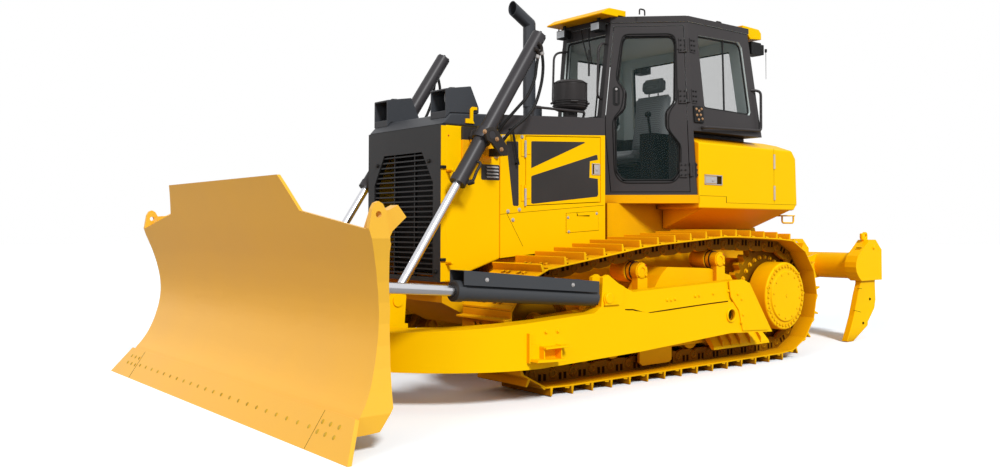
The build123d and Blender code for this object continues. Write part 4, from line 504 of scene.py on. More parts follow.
recoloured(track_yellow, (0.1, 0.03, 0.001), browned_link_sides)
# Painted shade: thin dark brown sheets in the links' sides stand for the shaded nut pockets behind them.
pocket_shade_brown = cast_black("nut_pocket_shade", (0.034, 0.01, 0.001), (0.02, 0.006, 0.001),
    0.8, 0.0008, 0.02)
steel(track_yellow, 0.003, "left_track", "right_track")
steel(track_yellow, 0.004, "idlers")
pins = chain_pins()
pocket_shades = bmesh.new()
for index, pin in enumerate(pins):
    after = pins[(index + 1) % len(pins)]
    run = (after - pin).normalized()
    out = Vector((run.y, -run.x))
    length = (after - pin).length
    lay = Matrix(((run.x, out.x, 0, pin.x), (0, 0, 1, 0), (run.y, out.y, 0, pin.y), (0, 0, 0, 1)))
    lip = [(-0.012, SHOE_FACE - 0.004), (0.034, SHOE_FACE - 0.004), (0.03, SHOE_FACE + 0.006),
        (-0.004, SHOE_FACE + 0.012), (-0.014, SHOE_FACE + 0.006)]
    plate(work, lip, TRACK_Y - 0.279, TRACK_Y + 0.279, lay)
    for row in (-0.09, 0.09):
        for face, way in ((-0.018, -1), (0.018, 1)):
            level = TRACK_Y + row + face
            turned(work, [(0.036, -0.004), (0.036, 0.005), (0.03, 0.008), (0.021, 0.008), (0.019, 0.003)],
                (pin.x, level, pin.y), (0, way, 0), 16)
            if face * row < 0:
                continue
            for share in (0.33, 0.57):
                start, end = share * length, (share + 0.13) * length
                box_plate(pocket_shades, start, end, -0.004, 0.046, *sorted((level, level + way * 0.0015)), lay)
                box_plate(work, start - 0.003, end + 0.003, -0.009, -0.005,
                    *sorted((level, level + way * 0.005)), lay)
        for share in (0.24, 0.56):
            for across in (-0.03, 0.03):
                spot = lay @ Vector((share * length, SHOE_FACE, TRACK_Y + row + across))
                bolt_heads(work, [spot], (out.x, 0, out.y), 0.026, washer=False)
both_sides("chain_bosses_and_bolts", work, track_yellow)
both_sides("link_pocket_shades", pocket_shades, pocket_shade_brown)

# ---------------- sprockets and final drives
# Toothed segments bolted to a hub, outside of which stands the turned drive housing. A ring of
# bolts closes the housing and a smaller cover is let into its face.
steel(track_yellow, 0.004, "sprockets")
steel(frame_yellow, 0.006, "final_drives")
HOUSING_FACE, COVER_FACE, SEGMENT_FACE = 1.254, 1.268, 1.01
bolt_heads(work, on_ring(SPROCKET_CENTRE, 0.272, 36, HOUSING_FACE), LEFT, 0.019)
bolt_heads(work, on_ring(SPROCKET_CENTRE, 0.205, 12, COVER_FACE, 0.13), LEFT, 0.012, washer=False)
turned(work, [(0.014, -0.002), (0.014, 0.004), (0.008, 0.006)], (SPROCKET_CENTRE[0], COVER_FACE,
    SPROCKET_CENTRE[1]), LEFT, 18)
bolt_heads(work, on_ring(SPROCKET_CENTRE, 0.352, 27, SEGMENT_FACE), LEFT, 0.03)
for spot in on_ring(SPROCKET_CENTRE, 0.292, 9, HOUSING_FACE, math.radians(17)):
    turned(work, [(0.011, -0.004), (0.011, 0.005), (0.007, 0.007)], spot, LEFT, 12)
both_sides("drive_bolts", work, frame_yellow)

# ---------------- engine hood and doors
# Folded sheet steel over a frame. The hood's shoulders are painted slate down to a slanting line.
# Each door carries two black painted fields, a steel piano hinge and a paddle latch in a cup.
hood_paint = enamel("hood_enamel", YELLOW, SHADED_YELLOW, DUST_YELLOW, 0.22)


def above_line(tree, place, facing_way):
    """The shoulders above a line that falls towards the front."""
    parts = axes(tree, place)
    height = reckon(tree, "ADD", parts["Z"], reckon(tree, "MULTIPLY", parts["X"], 0.0603))
    return reckon(tree, "GREATER_THAN", height, 2.0345)


recoloured(hood_paint, (0.058, 0.054, 0.056), above_line)
steel(hood_paint, 0.01, "hood")
steel(yellow, 0.003, "left_engine_door", "right_engine_door")
field_black = cast_black("field_paint", (0.04, 0.036, 0.034), (0.03, 0.027, 0.026), 0.38,
    0.0003)
zinc = cast_black("zinc_plate", (0.52, 0.5, 0.49), (0.4, 0.385, 0.38), 0.35, 0.0003)
seam_dark = cast_black("seam_shadow", (0.05, 0.026, 0.003), (0.03, 0.015, 0.002), 0.8, 0.0002,
    0.02)
HOOD_SIDE = 0.52

plate(work, [(1.128, 1.694), (1.128, 1.908), (1.118, 1.914), (0.53, 1.944), (0.52, 1.938)], HOOD_SIDE,
    HOOD_SIDE + 0.0015)
plate(work, [(1.128, 1.41), (1.128, 1.625), (1.112, 1.634), (0.385, 1.842), (0.372, 1.838), (0.366, 1.8),
    (0.462, 1.783), (0.468, 1.64), (0.366, 1.634), (0.362, 1.5), (0.372, 1.48), (1.112, 1.404)], HOOD_SIDE,
    HOOD_SIDE + 0.0015)
both_sides("door_fields", work, field_black, "*_engine_door")


def latch_rim(work, left, right, foot, head, rim, side):
    """Adds the four strips that frame a latch's cup."""
    for strip in ((left, left + rim, foot, head), (right - rim, right, foot, head),
                  (left, right, foot, foot + rim), (left, right, head - rim, head)):
        box_plate(work, *strip, side, side + 0.006)


latch_rim(work, 0.344, 0.44, 1.666, 1.766, 0.006, HOOD_SIDE)
box_plate(work, 0.35, 0.41, 1.676, 1.756, HOOD_SIDE, HOOD_SIDE + 0.004)
turned(work, [(0.016, 0.0), (0.016, 0.008), (0.011, 0.01)], (0.38, HOOD_SIDE, 1.716), LEFT, 20)
both_sides("door_latches", work, zinc, "*_engine_door", edge=0.0012)
# Painted shade: a dark strip at the cup's far end stands for the shade in its recess.
box_plate(work, 0.412, 0.434, 1.674, 1.758, HOOD_SIDE, HOOD_SIDE + 0.001)
both_sides("door_latch_cup_shades", work, seam_dark, "*_engine_door")

for low, high in ((1.386, 1.525), (1.778, 1.914)):
    turned(work, [(0.0095, 0.0), (0.0095, high - low)], (1.198, HOOD_SIDE + 0.0093, low), UP, 14)
    for step in range(4):
        spot = low + 0.02 + step * (high - low - 0.04) / 3
        turned(work, [(0.0105, -0.002), (0.0105, 0.002)], (1.198, HOOD_SIDE + 0.0093, spot), UP, 14)
both_sides("door_hinge_rods", work, zinc)

plate(work, [(1.39, 1.89), (1.38, 1.897), (1.275, 1.902), (1.266, 1.895), (1.262, 1.392), (1.27, 1.384),
    (1.312, 1.384), (1.322, 1.392)], HOOD_SIDE, HOOD_SIDE + 0.0015)
both_sides("hood_fields", work, field_black)

bolt_heads(work, on_side(HOOD_SIDE, (1.42, 1.928), (1.228, 1.941), (1.373, 1.339), (1.255, 1.354),
    (1.322, 1.271)), LEFT, 0.02)
both_sides("hood_bolts", work, zinc)

plate(work, [(1.384, 1.3175), (1.381, 1.3195), (1.214, 1.06), (1.217, 1.0585)], HOOD_SIDE,
    HOOD_SIDE + 0.0006)
plate(work, [(1.452, 1.3135), (1.452, 1.3165), (0.29, 1.409), (0.29, 1.406)], HOOD_SIDE, HOOD_SIDE + 0.0006)
both_sides("hood_seams", work, seam_dark)

plate(work, [(0.743, 1.165), (0.743, 1.333), (0.363, 1.356), (0.355, 1.187)], HOOD_SIDE, HOOD_SIDE + 0.0006)
both_sides("hatch_gaps", work, seam_dark)
plate(work, [(0.74, 1.168), (0.74, 1.33), (0.366, 1.353), (0.358, 1.19)], HOOD_SIDE, HOOD_SIDE + 0.003)
both_sides("hood_hatches", work, yellow, edge=0.001)
bolt_heads(work, on_side(HOOD_SIDE + 0.003, (0.722, 1.295), (0.384, 1.333), (0.714, 1.176)), LEFT, 0.015)
both_sides("hatch_bolts", work, zinc)
plate(work, [(0.62, 1.31), (0.618, 1.318), (0.622, 1.335), (0.615, 1.335), (0.608, 1.312), (0.47, 1.318),
    (0.47, 1.308)], HOOD_SIDE + 0.003, HOOD_SIDE + 0.005)
both_sides("hatch_handles", work, seam_dark)

LOUVRE = (1.467, 1.634, 1.59, 1.695)
plate(work, [(LOUVRE[0] - 0.008, LOUVRE[2]), (LOUVRE[0], LOUVRE[2] - 0.008), (LOUVRE[1], LOUVRE[2] - 0.008),
    (LOUVRE[1] + 0.008, LOUVRE[2]), (LOUVRE[1] + 0.008, LOUVRE[3]), (LOUVRE[1], LOUVRE[3] + 0.008),
    (LOUVRE[0], LOUVRE[3] + 0.008), (LOUVRE[0] - 0.008, LOUVRE[3])], HOOD_SIDE, HOOD_SIDE + 0.002)
both_sides("nose_vents", work, field_black, edge=0.001)
for step in range(4):
    foot = 1.603 + step * 0.026
    plate(work, [(HOOD_SIDE + 0.002, foot), (HOOD_SIDE + 0.014, foot - 0.004),
        (HOOD_SIDE + 0.012, foot + 0.006), (HOOD_SIDE + 0.002, foot + 0.01)], 1.478, 1.59, END)
both_sides("nose_vent_slats", work, zinc)

# ---------------- nose, mask and grille
# Thick side plates carry the lift cylinders. A slate mask with a slatted opening is bolted over
# the cooler and the bonnet slopes down over it. Two yellow pegs a side lock the mask shut.
steel(yellow, 0.012, "nose_housing")
slate = enamel("slate_enamel", (0.04, 0.044, 0.051), (0.028, 0.029, 0.033),
    (0.06, 0.06, 0.066), 0.3, 0.0003, 0.42, gleam=0.25)
steel(slate, 0.016, "nose_cap", steps=3)
grille_black = cast_black("grille_black", (0.012, 0.011, 0.01), (0.005, 0.005, 0.005), 0.5,
    0.0006)
# Painted shade: the mask's hollows, between its slats, go near black.
mask_slate = enamel("mask_enamel", (0.04, 0.04, 0.044), (0.028, 0.028, 0.03),
    (0.05, 0.05, 0.05), 0.3, 0.0003, 0.4, hollow_shade=(0.004, 0.003, 0.003), gleam=0.16)
steel(mask_slate, 0.003, "grille")
for y, z in ((0.372, 1.716), (-0.372, 1.716), (0.468, 0.88), (-0.468, 0.88)):
    turned(work, [(0.03, -0.002), (0.03, 0.003), (0.026, 0.004), (0.024, 0.002)], (2.025, y, z), FORWARD, 24)
    bolt_heads(work, [(2.026, y, z)], FORWARD, 0.03, washer=False)
finished("mask_bolts", work, grille_black)
for z in (1.64, 0.945):
    turned(work, [(0.014, 0.0), (0.014, 0.01), (0.012, 0.012), (0.012, 0.07), (0.009, 0.074)],
        (1.962, 0.518, z), LEFT, 16)
    box_plate(work, 1.93, 1.976, z - 0.009, z + 0.009, 0.519, 0.534)
both_sides("mask_pegs", work, yellow, edge=0.002)
for z in (1.664, 0.969):
    box_plate(work, 1.984, 2.026, z - 0.012, z + 0.012, 0.519, 0.538)
both_sides("mask_peg_stops", work, grille_black, edge=0.003)
plate(work, [(1.8, 2.01), (1.8, 2.045), (1.756, 2.047), (1.756, 2.12), (1.738, 2.14), (1.69, 2.14),
    (1.69, 2.118), (1.72, 2.116), (1.728, 2.106), (1.728, 2.034), (1.716, 2.01)], 0.52, 0.532)
both_sides("bonnet_straps", work, yellow, edge=0.002)
box_plate(work, 1.979, 2.024, 0.806, 1.978, 0.5195, 0.5225)
both_sides("mask_side_lips", work, yellow)
turned(work, [(0.006, -0.001), (0.006, 0.003)], (1.955, 0.52, 1.905), LEFT, 10)
both_sides("nose_plugs", work, red_mark)

# ---------------- exhaust, pre-cleaner and lamps
# Bent steel tube, a pressed steel bowl with two clamp bands, and folded lamp hoods, all sprayed
# black. Each hood shelters a headlamp on a ribbed rubber mount.
lamp_glass = cast_black("lamp_glass", (0.62, 0.64, 0.66), (0.42, 0.44, 0.46), 0.12, 0.0002)
bowl_black = cast_black("bowl_black", (0.03, 0.026, 0.026), (0.022, 0.019, 0.019), 0.4,
    0.0003)
steel(slate, 0.003, "exhaust_stack")
steel(bowl_black, 0.004, "air_cleaner")
steel(slate, 0.005, "work_lamps")
for z, out in ((2.462, 0.0), (2.308, 0.004), (2.292, 0.005), (2.268, 0.002)):
    turned(work, [(0.148, -0.004), (0.153 + out, -0.002), (0.153 + out, 0.002), (0.148, 0.004)],
        (0.535, 0.35, z), UP, 48)
for angle in (-30, 60, 150, 240):
    x, y = math.cos(math.radians(angle)), math.sin(math.radians(angle))
    turned(work, [(0.01, -0.03), (0.01, 0.03)], (0.535 + 0.16 * x, 0.35 + 0.16 * y, 2.292), (-y, x, 0), 12)
finished("precleaner_bands", work, bowl_black)
for side, name in ((-1, "right"), (1, "left")):
    for step in range(6):
        turned(work, [(0.04, 0.0), (0.052, 0.004), (0.052, 0.01), (0.04, 0.014)],
            (1.8, side * 0.415, 2.085 + step * 0.016), UP, 20)
    turned(work, [(0.02, 0.0), (0.07, 0.004), (0.082, 0.03), (0.082, 0.062), (0.074, 0.066)],
        (1.8, side * 0.415, 2.216), (1, 0, -0.08), 28)
    finished("lamp_mount_" + name, work, grille_black)
    turned(work, [(0.074, 0.0), (0.066, 0.01), (0.03, 0.018)], (1.864, side * 0.415, 2.211), (1, 0, -0.08),
        28)
    finished("headlamp_" + name, work, lamp_glass)

# ---------------- cab shell, doors and hoods
# A pressed and welded steel cab, sprayed a warm black. Rubber profiles hold every pane, bolted
# leaf hinges carry the doors and bent round bar makes the grab rails.


def rod(work, points, radius, corner=0.04, sides=12):
    """Adds a round bar that runs through the points, bent round each of them."""
    points = [Vector(point) for point in points]
    path = [points[0]]
    for before, at, after in zip(points, points[1:], points[2:]):
        start = at + (before - at).normalized() * min(corner, (before - at).length / 2)
        end = at + (after - at).normalized() * min(corner, (after - at).length / 2)
        for step in range(6):
            share = step / 5
            path.append(start.lerp(at, share).lerp(at.lerp(end, share), share))
    path.append(points[-1])
    across = None
    rings = []
    for index, spot in enumerate(path):
        along = (path[min(index + 1, len(path) - 1)] - path[max(index - 1, 0)]).normalized()
        across = across or along.orthogonal().normalized()
        across = (across - along * across.dot(along)).normalized()
        other = along.cross(across)
        ring = []
        for step in range(sides):
            angle = 2 * math.pi * step / sides
            ring.append(work.verts.new(spot + (across * math.cos(angle) + other * math.sin(angle)) * radius))
        rings.append(ring)
    for lower, upper in zip(rings, rings[1:]):
        for here in range(sides):
            work.faces.new((lower[here - 1], lower[here], upper[here], upper[here - 1]))
    work.faces.new(rings[0])
    work.faces.new(rings[-1])
    return path


cab_black, shell_black = (enamel(name, (0.04, 0.036, 0.037), (0.026, 0.024, 0.025),
    (0.06, 0.056, 0.056), 0.3, 0.0003, 0.42, gleam=0.16) for name in ("cab_enamel", "cab_shell_enamel"))
rubber = cast_black("rubber_profile", (0.01, 0.01, 0.01), (0.006, 0.006, 0.006), 0.55, 0.0003)
passivated = cast_black("passivated_steel", (0.5, 0.3, 0.16), (0.34, 0.19, 0.09), 0.35, 0.0004)
CAB_MIDDLE = Vector((-0.65, 0.0, 2.3))
LINING_FOOT = 2.18


def lined(tree, place, facing_way):
    """The cab's walls and roof inside, above the operator's elbow, where a pale lining is glued."""
    outward = tree.nodes.new("ShaderNodeVectorMath")
    outward.operation = "SUBTRACT"
    tree.links.new(place, outward.inputs[0])
    outward.inputs[1].default_value = CAB_MIDDLE
    turned_away = tree.nodes.new("ShaderNodeVectorMath")
    turned_away.operation = "DOT_PRODUCT"
    tree.links.new(outward.outputs["Vector"], turned_away.inputs[0])
    tree.links.new(facing_way, turned_away.inputs[1])
    inside = reckon(tree, "LESS_THAN", turned_away.outputs["Value"], 0.0)
    head_high = reckon(tree, "GREATER_THAN", axes(tree, place)["Z"], LINING_FOOT)
    return reckon(tree, "MULTIPLY", inside, head_high)


recoloured(shell_black, (0.74, 0.82, 0.8), lined)
steel(shell_black, 0.008, "cab_shell")
steel(cab_black, 0.01, "left_cab_door", "right_cab_door")

glass, glass_tree, glass_shader, glass_slow, glass_fine = wear("tinted_glass",
    {"Roughness": 0.03, "Alpha": 0.16, "Specular IOR Level": 0.25})
glass_tree.links.new(blend_colours(glass_tree, stretch(glass_tree, glass_slow, 0.35, 0.7),
    (0.02, 0.04, 0.04), (0.016, 0.034, 0.034)), glass_shader.inputs["Base Color"])
glass_tree.links.new(stretch(glass_tree, glass_fine, 0.3, 0.7, 0.015, 0.05),
    glass_shader.inputs["Roughness"])
dress(glass, "cab_glass", "left_door_glass", "right_door_glass")
steel(yellow, 0.012, "visors", steps=3)

DOOR_WAY = Vector((0.707, 0.707, 0.06)).normalized()
REAR_WAY = Vector((0.03, 1.0, 0.07)).normalized()
# Hinge leaves: (height, door leaf x and y, post leaf x and y).
LEAF_SPOTS = ((1.728, -0.397, 0.838, -0.512, 0.909), (2.399, -0.426, 0.807, -0.525, 0.858),
    (2.867, -0.451, 0.789, -0.54, 0.826))
door_leaves = bmesh.new()
post_leaves = bmesh.new()
door_bolts = bmesh.new()
post_bolts = bmesh.new()


def leaning(spot, way):
    """A place on a leaning wall: level across, then up the wall, then out of it."""
    across = Vector(UP).cross(way).normalized()
    up = way.cross(across).normalized()
    lay = Matrix((across, up, way)).transposed().to_4x4()
    return Matrix.Translation(Vector(spot)) @ lay


for z, door_x, door_y, post_x, post_y in LEAF_SPOTS:
    for leaves, bolts_, x, y, way in ((door_leaves, door_bolts, door_x, door_y, DOOR_WAY),
                                      (post_leaves, post_bolts, post_x, post_y, REAR_WAY)):
        lay = leaning((x, y, z), way)
        box_plate(leaves, -0.034, 0.034, -0.066, 0.066, -0.004, 0.006, lay)
        for across in (-0.018, 0.018):
            for up in (-0.045, 0.0, 0.045):
                bolt_heads(bolts_, [lay @ Vector((across, up, 0.006))], way, 0.015, washer=False)
both_sides("door_hinge_leaves", door_leaves, cab_black, "*_cab_door", 0.001)
both_sides("post_hinge_leaves", post_leaves, cab_black, edge=0.001)
both_sides("door_hinge_bolts", door_bolts, rubber, "*_cab_door")
both_sides("post_hinge_bolts", post_bolts, rubber)

lay = leaning((-0.56, 0.872, 2.236), REAR_WAY)
box_plate(work, -0.062, 0.062, -0.075, 0.075, -0.004, 0.016, lay)
both_sides("door_catch_plates", work, rubber, edge=0.003)
for across, up in ((-0.035, 0.045), (0.0, 0.03), (0.035, 0.05), (-0.03, -0.01), (0.02, -0.005),
                   (0.04, -0.04), (-0.01, -0.05)):
    bolt_heads(work, [lay @ Vector((across, up, 0.016))], REAR_WAY, 0.015)
both_sides("door_catch_bolts", work, passivated)

lay = leaning((-0.012, 0.381, 2.405), DOOR_WAY)
plate(work, [(-0.032, -0.075), (-0.014, -0.09), (0.014, -0.09), (0.032, -0.075), (0.032, 0.07),
    (0.014, 0.088), (-0.014, 0.088), (-0.032, 0.07)], -0.004, 0.004, lay)
both_sides("door_handle_cups", work, rubber, "*_cab_door", 0.002)
plate(work, [(-0.01, -0.07), (0.01, -0.07), (0.012, 0.04), (-0.01, 0.04)], 0.004, 0.014, lay)
both_sides("door_handles", work, cab_black, "*_cab_door", 0.003)
turned(work, [(0.011, -0.002), (0.011, 0.009), (0.008, 0.011)], lay @ Vector((0.0, 0.062, 0.004)), DOOR_WAY,
    18)
both_sides("door_locks", work, zinc, "*_cab_door")

# Each rail's bars: (points, radius, bend).
RAILS = {
    "rear_grab_rails": [
        ([(-0.6, 0.882, 2.118), (-0.6, 0.93, 2.12), (-1.44, 0.93, 2.146), (-1.44, 0.93, 2.52),
          (-1.4, 0.9, 2.535), (-1.36, 0.868, 2.536)], 0.013, 0.04),
        ([(-1.34, 0.905, 2.146), (-1.34, 0.93, 2.146)], 0.012, 0.04)],
    "front_grab_rails": [
        ([(0.0, 0.262, 2.9), (0.09, 0.3, 2.888), (0.135, 0.3, 2.84), (0.15, 0.3, 2.4),
          (0.07, 0.262, 2.385)], 0.011, 0.04)],
    "hood_rails": [
        ([(0.5, 0.47, 2.15), (0.5, 0.5, 2.205), (1.08, 0.5, 2.2), (1.095, 0.485, 2.105)],
         0.011, 0.03)],
    "roof_lifting_loops": [
        ([(x, y, foot), (x, y, 3.196), (x - reach, y, 3.196), (x - reach, y, foot)], 0.007, 0.02)
        for x, y, foot, reach in ((-0.15, 0.54, 3.145, 0.07), (-1.08, 0.68, 3.14, 0.08))],
}
for name, bars in RAILS.items():
    for points, radius, bend in bars:
        rod(work, points, radius, bend)
    both_sides(name, work, cab_black)

lenses = bmesh.new()
box_plate(work, 0.03, 0.11, 3.01, 3.09, 0.17, 0.29)
box_plate(work, 0.05, 0.07, 3.088, 3.14, 0.215, 0.245)
box_plate(lenses, 0.18, 0.28, 3.018, 3.082, 0.108, 0.116, END)
both_sides("visor_lamps", work, rubber, edge=0.004)
both_sides("visor_lamp_lenses", lenses, lamp_glass, edge=0.003)
box_plate(work, -1.64, -1.48, 2.915, 3.04, 0.69, 0.8)
box_plate(work, -1.7, -1.64, 2.93, 3.03, 0.7, 0.79)
box_plate(lenses, 0.71, 0.78, 2.94, 3.02, -1.706, -1.699, END)
both_sides("rear_lamps", work, rubber, edge=0.005)
both_sides("rear_lamp_lenses", lenses, lamp_glass, edge=0.003)
turned(work, [(0.012, 0.0), (0.012, 0.03), (0.003, 0.036), (0.002, 0.3)], (-1.715, 0.8, 2.99), (0, 0, -1),
    10)
finished("aerial", work, rubber)


def seal_round(work, name, lift=0.0):
    """Lays a rubber profile round each pane of a glass node, and a second one on the raised frame."""
    panes = bmesh.new()
    panes.from_mesh(nodes[name].data)
    bmesh.ops.dissolve_limit(panes, angle_limit=0.02, verts=panes.verts, edges=panes.edges)
    for face in panes.faces:
        middle = face.calc_center_median()
        if face.calc_area() < 0.08 or (middle - CAB_MIDDLE).dot(face.normal) < 0:
            continue
        corners = [vert.co + (middle - vert.co).normalized() * 0.012 for vert in face.verts]
        start = (corners[-1] + corners[0]) / 2
        rod(work, [start, *corners, start], 0.009, 0.04, 8)
        rim = [vert.co + (vert.co - middle).normalized() * 0.016 + face.normal * lift for vert in face.verts]
        if lift:
            start = (rim[-1] + rim[0]) / 2
            rod(work, [start, *rim, start], 0.005, 0.06, 8)
    panes.free()


seal_round(work, "cab_glass")
finished("cab_glass_seals", work, rubber)
rod(work, [(-1.004, 0.809, 2.985), (-0.983, 0.834, 2.647), (-0.961, 0.858, 2.29)], 0.009, 0.02, 8)
both_sides("side_window_dividers", work, rubber)
for side in ("left", "right"):
    seal_round(work, side + "_door_glass", lift=0.026)
    finished(side + "_door_glass_seal", work, rubber, side + "_cab_door")

rod(work, [(0.02, -0.04, 3.06), (0.06, 0.02, 2.96), (0.075, 0.11, 2.74)], 0.006, 0.02)
rod(work, [(0.02, 0.06, 3.06), (0.05, 0.09, 2.96), (0.072, 0.15, 2.72)], 0.006, 0.02)
rod(work, [(0.062, 0.105, 2.86), (0.094, 0.135, 2.61)], 0.009, 0.02)
finished("windscreen_wiper", work, rubber)

# ---------------- console and seat
# A moulded dash and side consoles with levers. The sprung seat has a steel pedestal and three
# foam pads under grey woven covers, piped round their edges.
moulded = cast_black("console_moulding", (0.012, 0.012, 0.012), (0.007, 0.007, 0.007), 0.6,
    0.00004, 0.1)
steel(moulded, 0.012, "console")
seat_cloth, cloth_tree, cloth_shader, cloth_slow, _ = wear("seat_cloth",
    {"Roughness": 0.9, "Sheen Weight": 0.3, "Specular IOR Level": 0.1})
weave = cloth_tree.nodes.new("ShaderNodeTexWave")
weave.inputs["Scale"].default_value = 110.0
weave.inputs["Distortion"].default_value = 1.5
cloth_place = cloth_tree.nodes.new("ShaderNodeTexCoord").outputs["Object"]
cloth_tree.links.new(cloth_place, weave.inputs["Vector"])
cloth_colour = blend_colours(cloth_tree, stretch(cloth_tree, cloth_slow, 0.35, 0.7), (0.26, 0.28, 0.285),
    (0.34, 0.36, 0.365))
cloth_colour = blend_colours(cloth_tree, stretch(cloth_tree, weave.outputs["Fac"], 0.2, 0.9, 0.0, 0.5),
    cloth_colour, (0.1, 0.1, 0.11))
cloth_tree.links.new(cloth_colour, cloth_shader.inputs["Base Color"])
raised(cloth_tree, cloth_shader, weave.outputs["Fac"], 0.0008)
box_plate(work, -0.88, -0.54, 1.585, 1.64, -0.2, 0.2)
for step in range(7):
    low = 1.64 + step * 0.026
    box_plate(work, -0.86 + 0.006 * (step % 2), -0.56 - 0.006 * (step % 2), low, low + 0.024, -0.17, 0.17)
box_plate(work, -0.925, -0.435, 1.815, 1.835, -0.24, 0.24)
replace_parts(finished("seat_pedestal", work, moulded, edge=0.004), "seat")


def stuffed(name, outline, half_width, push, most):
    """Fills a sewn cover with foam: its block swells under pressure, but by no more than most."""
    block = bmesh.new()
    plate(block, outline, -half_width, half_width)
    bmesh.ops.recalc_face_normals(block, faces=block.faces)
    bmesh.ops.bevel(block, geom=block.edges, offset=0.028, segments=3, affect="EDGES")
    sewn = bpy.data.meshes.new(name)
    block.to_mesh(sewn)
    block.free()
    pad = bpy.data.objects.new(name, sewn)
    scene.collection.objects.link(pad)
    grid = pad.modifiers.new("even_grid", "REMESH")
    grid.mode = "VOXEL"
    grid.voxel_size = 0.01
    seen = bpy.context.evaluated_depsgraph_get()
    cover = bpy.data.meshes.new_from_object(pad.evaluated_get(seen))
    pad.modifiers.clear()
    pad.data = cover
    rest = [vert.co.copy() for vert in cover.vertices]
    swelling = pad.modifiers.new("swelling", "CLOTH")
    swelling.settings.use_pressure = True
    swelling.settings.uniform_pressure_force = push
    swelling.settings.effector_weights.gravity = 0
    for moment in range(1, 21):
        scene.frame_set(moment)
    seen = bpy.context.evaluated_depsgraph_get()
    swollen = [vert.co.copy() for vert in pad.evaluated_get(seen).data.vertices]
    pad.modifiers.clear()
    scene.frame_set(1)
    for vert, before, after in zip(cover.vertices, rest, swollen):
        shift = after - before
        if shift.length > most:
            shift *= most / shift.length
        vert.co = before + shift
    for face in cover.polygons:
        face.use_smooth = True
    cover.materials.append(seat_cloth)
    smoother = pad.modifiers.new("fine_cover", "SUBSURF")
    smoother.levels = 1
    smoother.render_levels = 1
    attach(pad, "chassis")


stuffed("seat_cushion", [(-0.925, 1.838), (-0.432, 1.838), (-0.432, 1.945), (-0.925, 1.945)], 0.245, 4.0,
    0.012)
stuffed("seat_back", [(-0.93, 1.96), (-0.835, 1.96), (-0.912, 2.545), (-0.988, 2.545)], 0.232, 4.0, 0.01)
stuffed("seat_head_rest", [(-1.0, 2.562), (-0.9, 2.562), (-0.918, 2.71), (-1.008, 2.71)], 0.142, 4.0, 0.008)
for y in (-0.06, 0.06):
    rod(work, [(-0.95, y, 2.52), (-0.95, y, 2.59)], 0.007)
finished("head_rest_posts", work, zinc)

# ---------------- fuel tank
# A welded tank with large rounded corners that wraps the cab's rear. A flush door on its left
# side hangs on two steel hinges and closes with a paddle latch.
# Painted shade: the tank's hollows take a dark orange-brown.
tank_yellow = enamel("tank_enamel", YELLOW, (0.98, 0.36, 0.0), (0.94, 0.52, 0.0), 0.22,
    hollow_shade=(0.5, 0.17, 0.004))
steel(tank_yellow, 0.03, "rear_tank", keep=25.0, steps=4)
TANK_SIDE = 0.94
for low, high in ((1.483, 1.62), (1.785, 1.926)):
    turned(work, [(0.01, 0.0), (0.01, high - low)], (-1.634, TANK_SIDE + 0.004, low), UP, 14)
both_sides("tank_hinge_rods", work, zinc)
latch_rim(work, -0.818, -0.565, 1.6, 1.69, 0.008, TANK_SIDE)
box_plate(work, -0.74, -0.58, 1.614, 1.676, TANK_SIDE, TANK_SIDE + 0.004)
turned(work, [(0.016, 0.0), (0.016, 0.007), (0.011, 0.009)], (-0.68, TANK_SIDE + 0.002, 1.645), LEFT, 20)
both_sides("tank_latches", work, zinc, edge=0.001)
# Painted shade: a dark strip at the cup's far end stands for the shade in its recess.
box_plate(work, -0.81, -0.742, 1.608, 1.682, TANK_SIDE, TANK_SIDE + 0.001)
both_sides("tank_latch_cup_shades", work, seam_dark)
for strip in ((-1.6345, -1.632, 1.45, 1.985), (-2.02, -0.88, 1.44, 1.4425), (-0.886, -0.878, 1.44, 1.5),
              (-0.878, -0.5, 1.498, 1.5005)):
    box_plate(work, *strip, TANK_SIDE, TANK_SIDE + 0.0006)
both_sides("tank_seams", work, seam_dark)
box_plate(work, -2.21, -1.95, 1.33, 1.342, 0.6, 0.8)
rod(work, [(-1.99, 0.79, 1.33), (-1.99, 0.79, 1.262), (-2.19, 0.79, 1.262), (-2.19, 0.79, 1.33)], 0.009,
    0.03)
both_sides("rear_steps", work, tank_yellow, edge=0.002)

# ---------------- push frame
# A C-shaped frame bent from box section around the nose, pinned to the track frames. Its outer
# faces carry a bolted step, a flame-cut hole at the trunnion and the ears of the angle cylinders.
steel(yellow, 0.005, "push_frame")
ARM_SIDE = 1.45
HOLE = (-0.255, 0.489)
PIN_PLATE, EAR_PLATE = 1.46, 1.44
box_plate(work, 1.95, 1.962, 0.3, 0.5, ARM_SIDE - 0.012, ARM_SIDE + 0.02)
plate(work, [(1.958, 0.312), (1.7, 0.3), (1.7, 0.316), (1.95, 0.33)], ARM_SIDE, ARM_SIDE + 0.1)
box_plate(work, 1.86, 1.95, 0.316, 0.42, ARM_SIDE, ARM_SIDE + 0.012)
for x in (1.7, 1.858):
    plate(work, [(x, 0.316), (x + 0.01, 0.316), (x + 0.01, 0.41), (x, 0.4)], ARM_SIDE - 0.002,
        ARM_SIDE + 0.06)
box_plate(work, 1.64, 1.87, 0.392, 0.404, ARM_SIDE - 0.002, ARM_SIDE + 0.085)
both_sides("arm_steps", work, yellow, "push_frame", 0.002)
bolt_heads(work, on_side(ARM_SIDE, (1.8, 0.5), (1.69, 0.498)), LEFT, 0.022)
bolt_heads(work, on_side(PIN_PLATE, (-0.338, 0.66), (-0.391, 0.615), (-0.409, 0.483), (-0.389, 0.419)), LEFT,
    0.018)
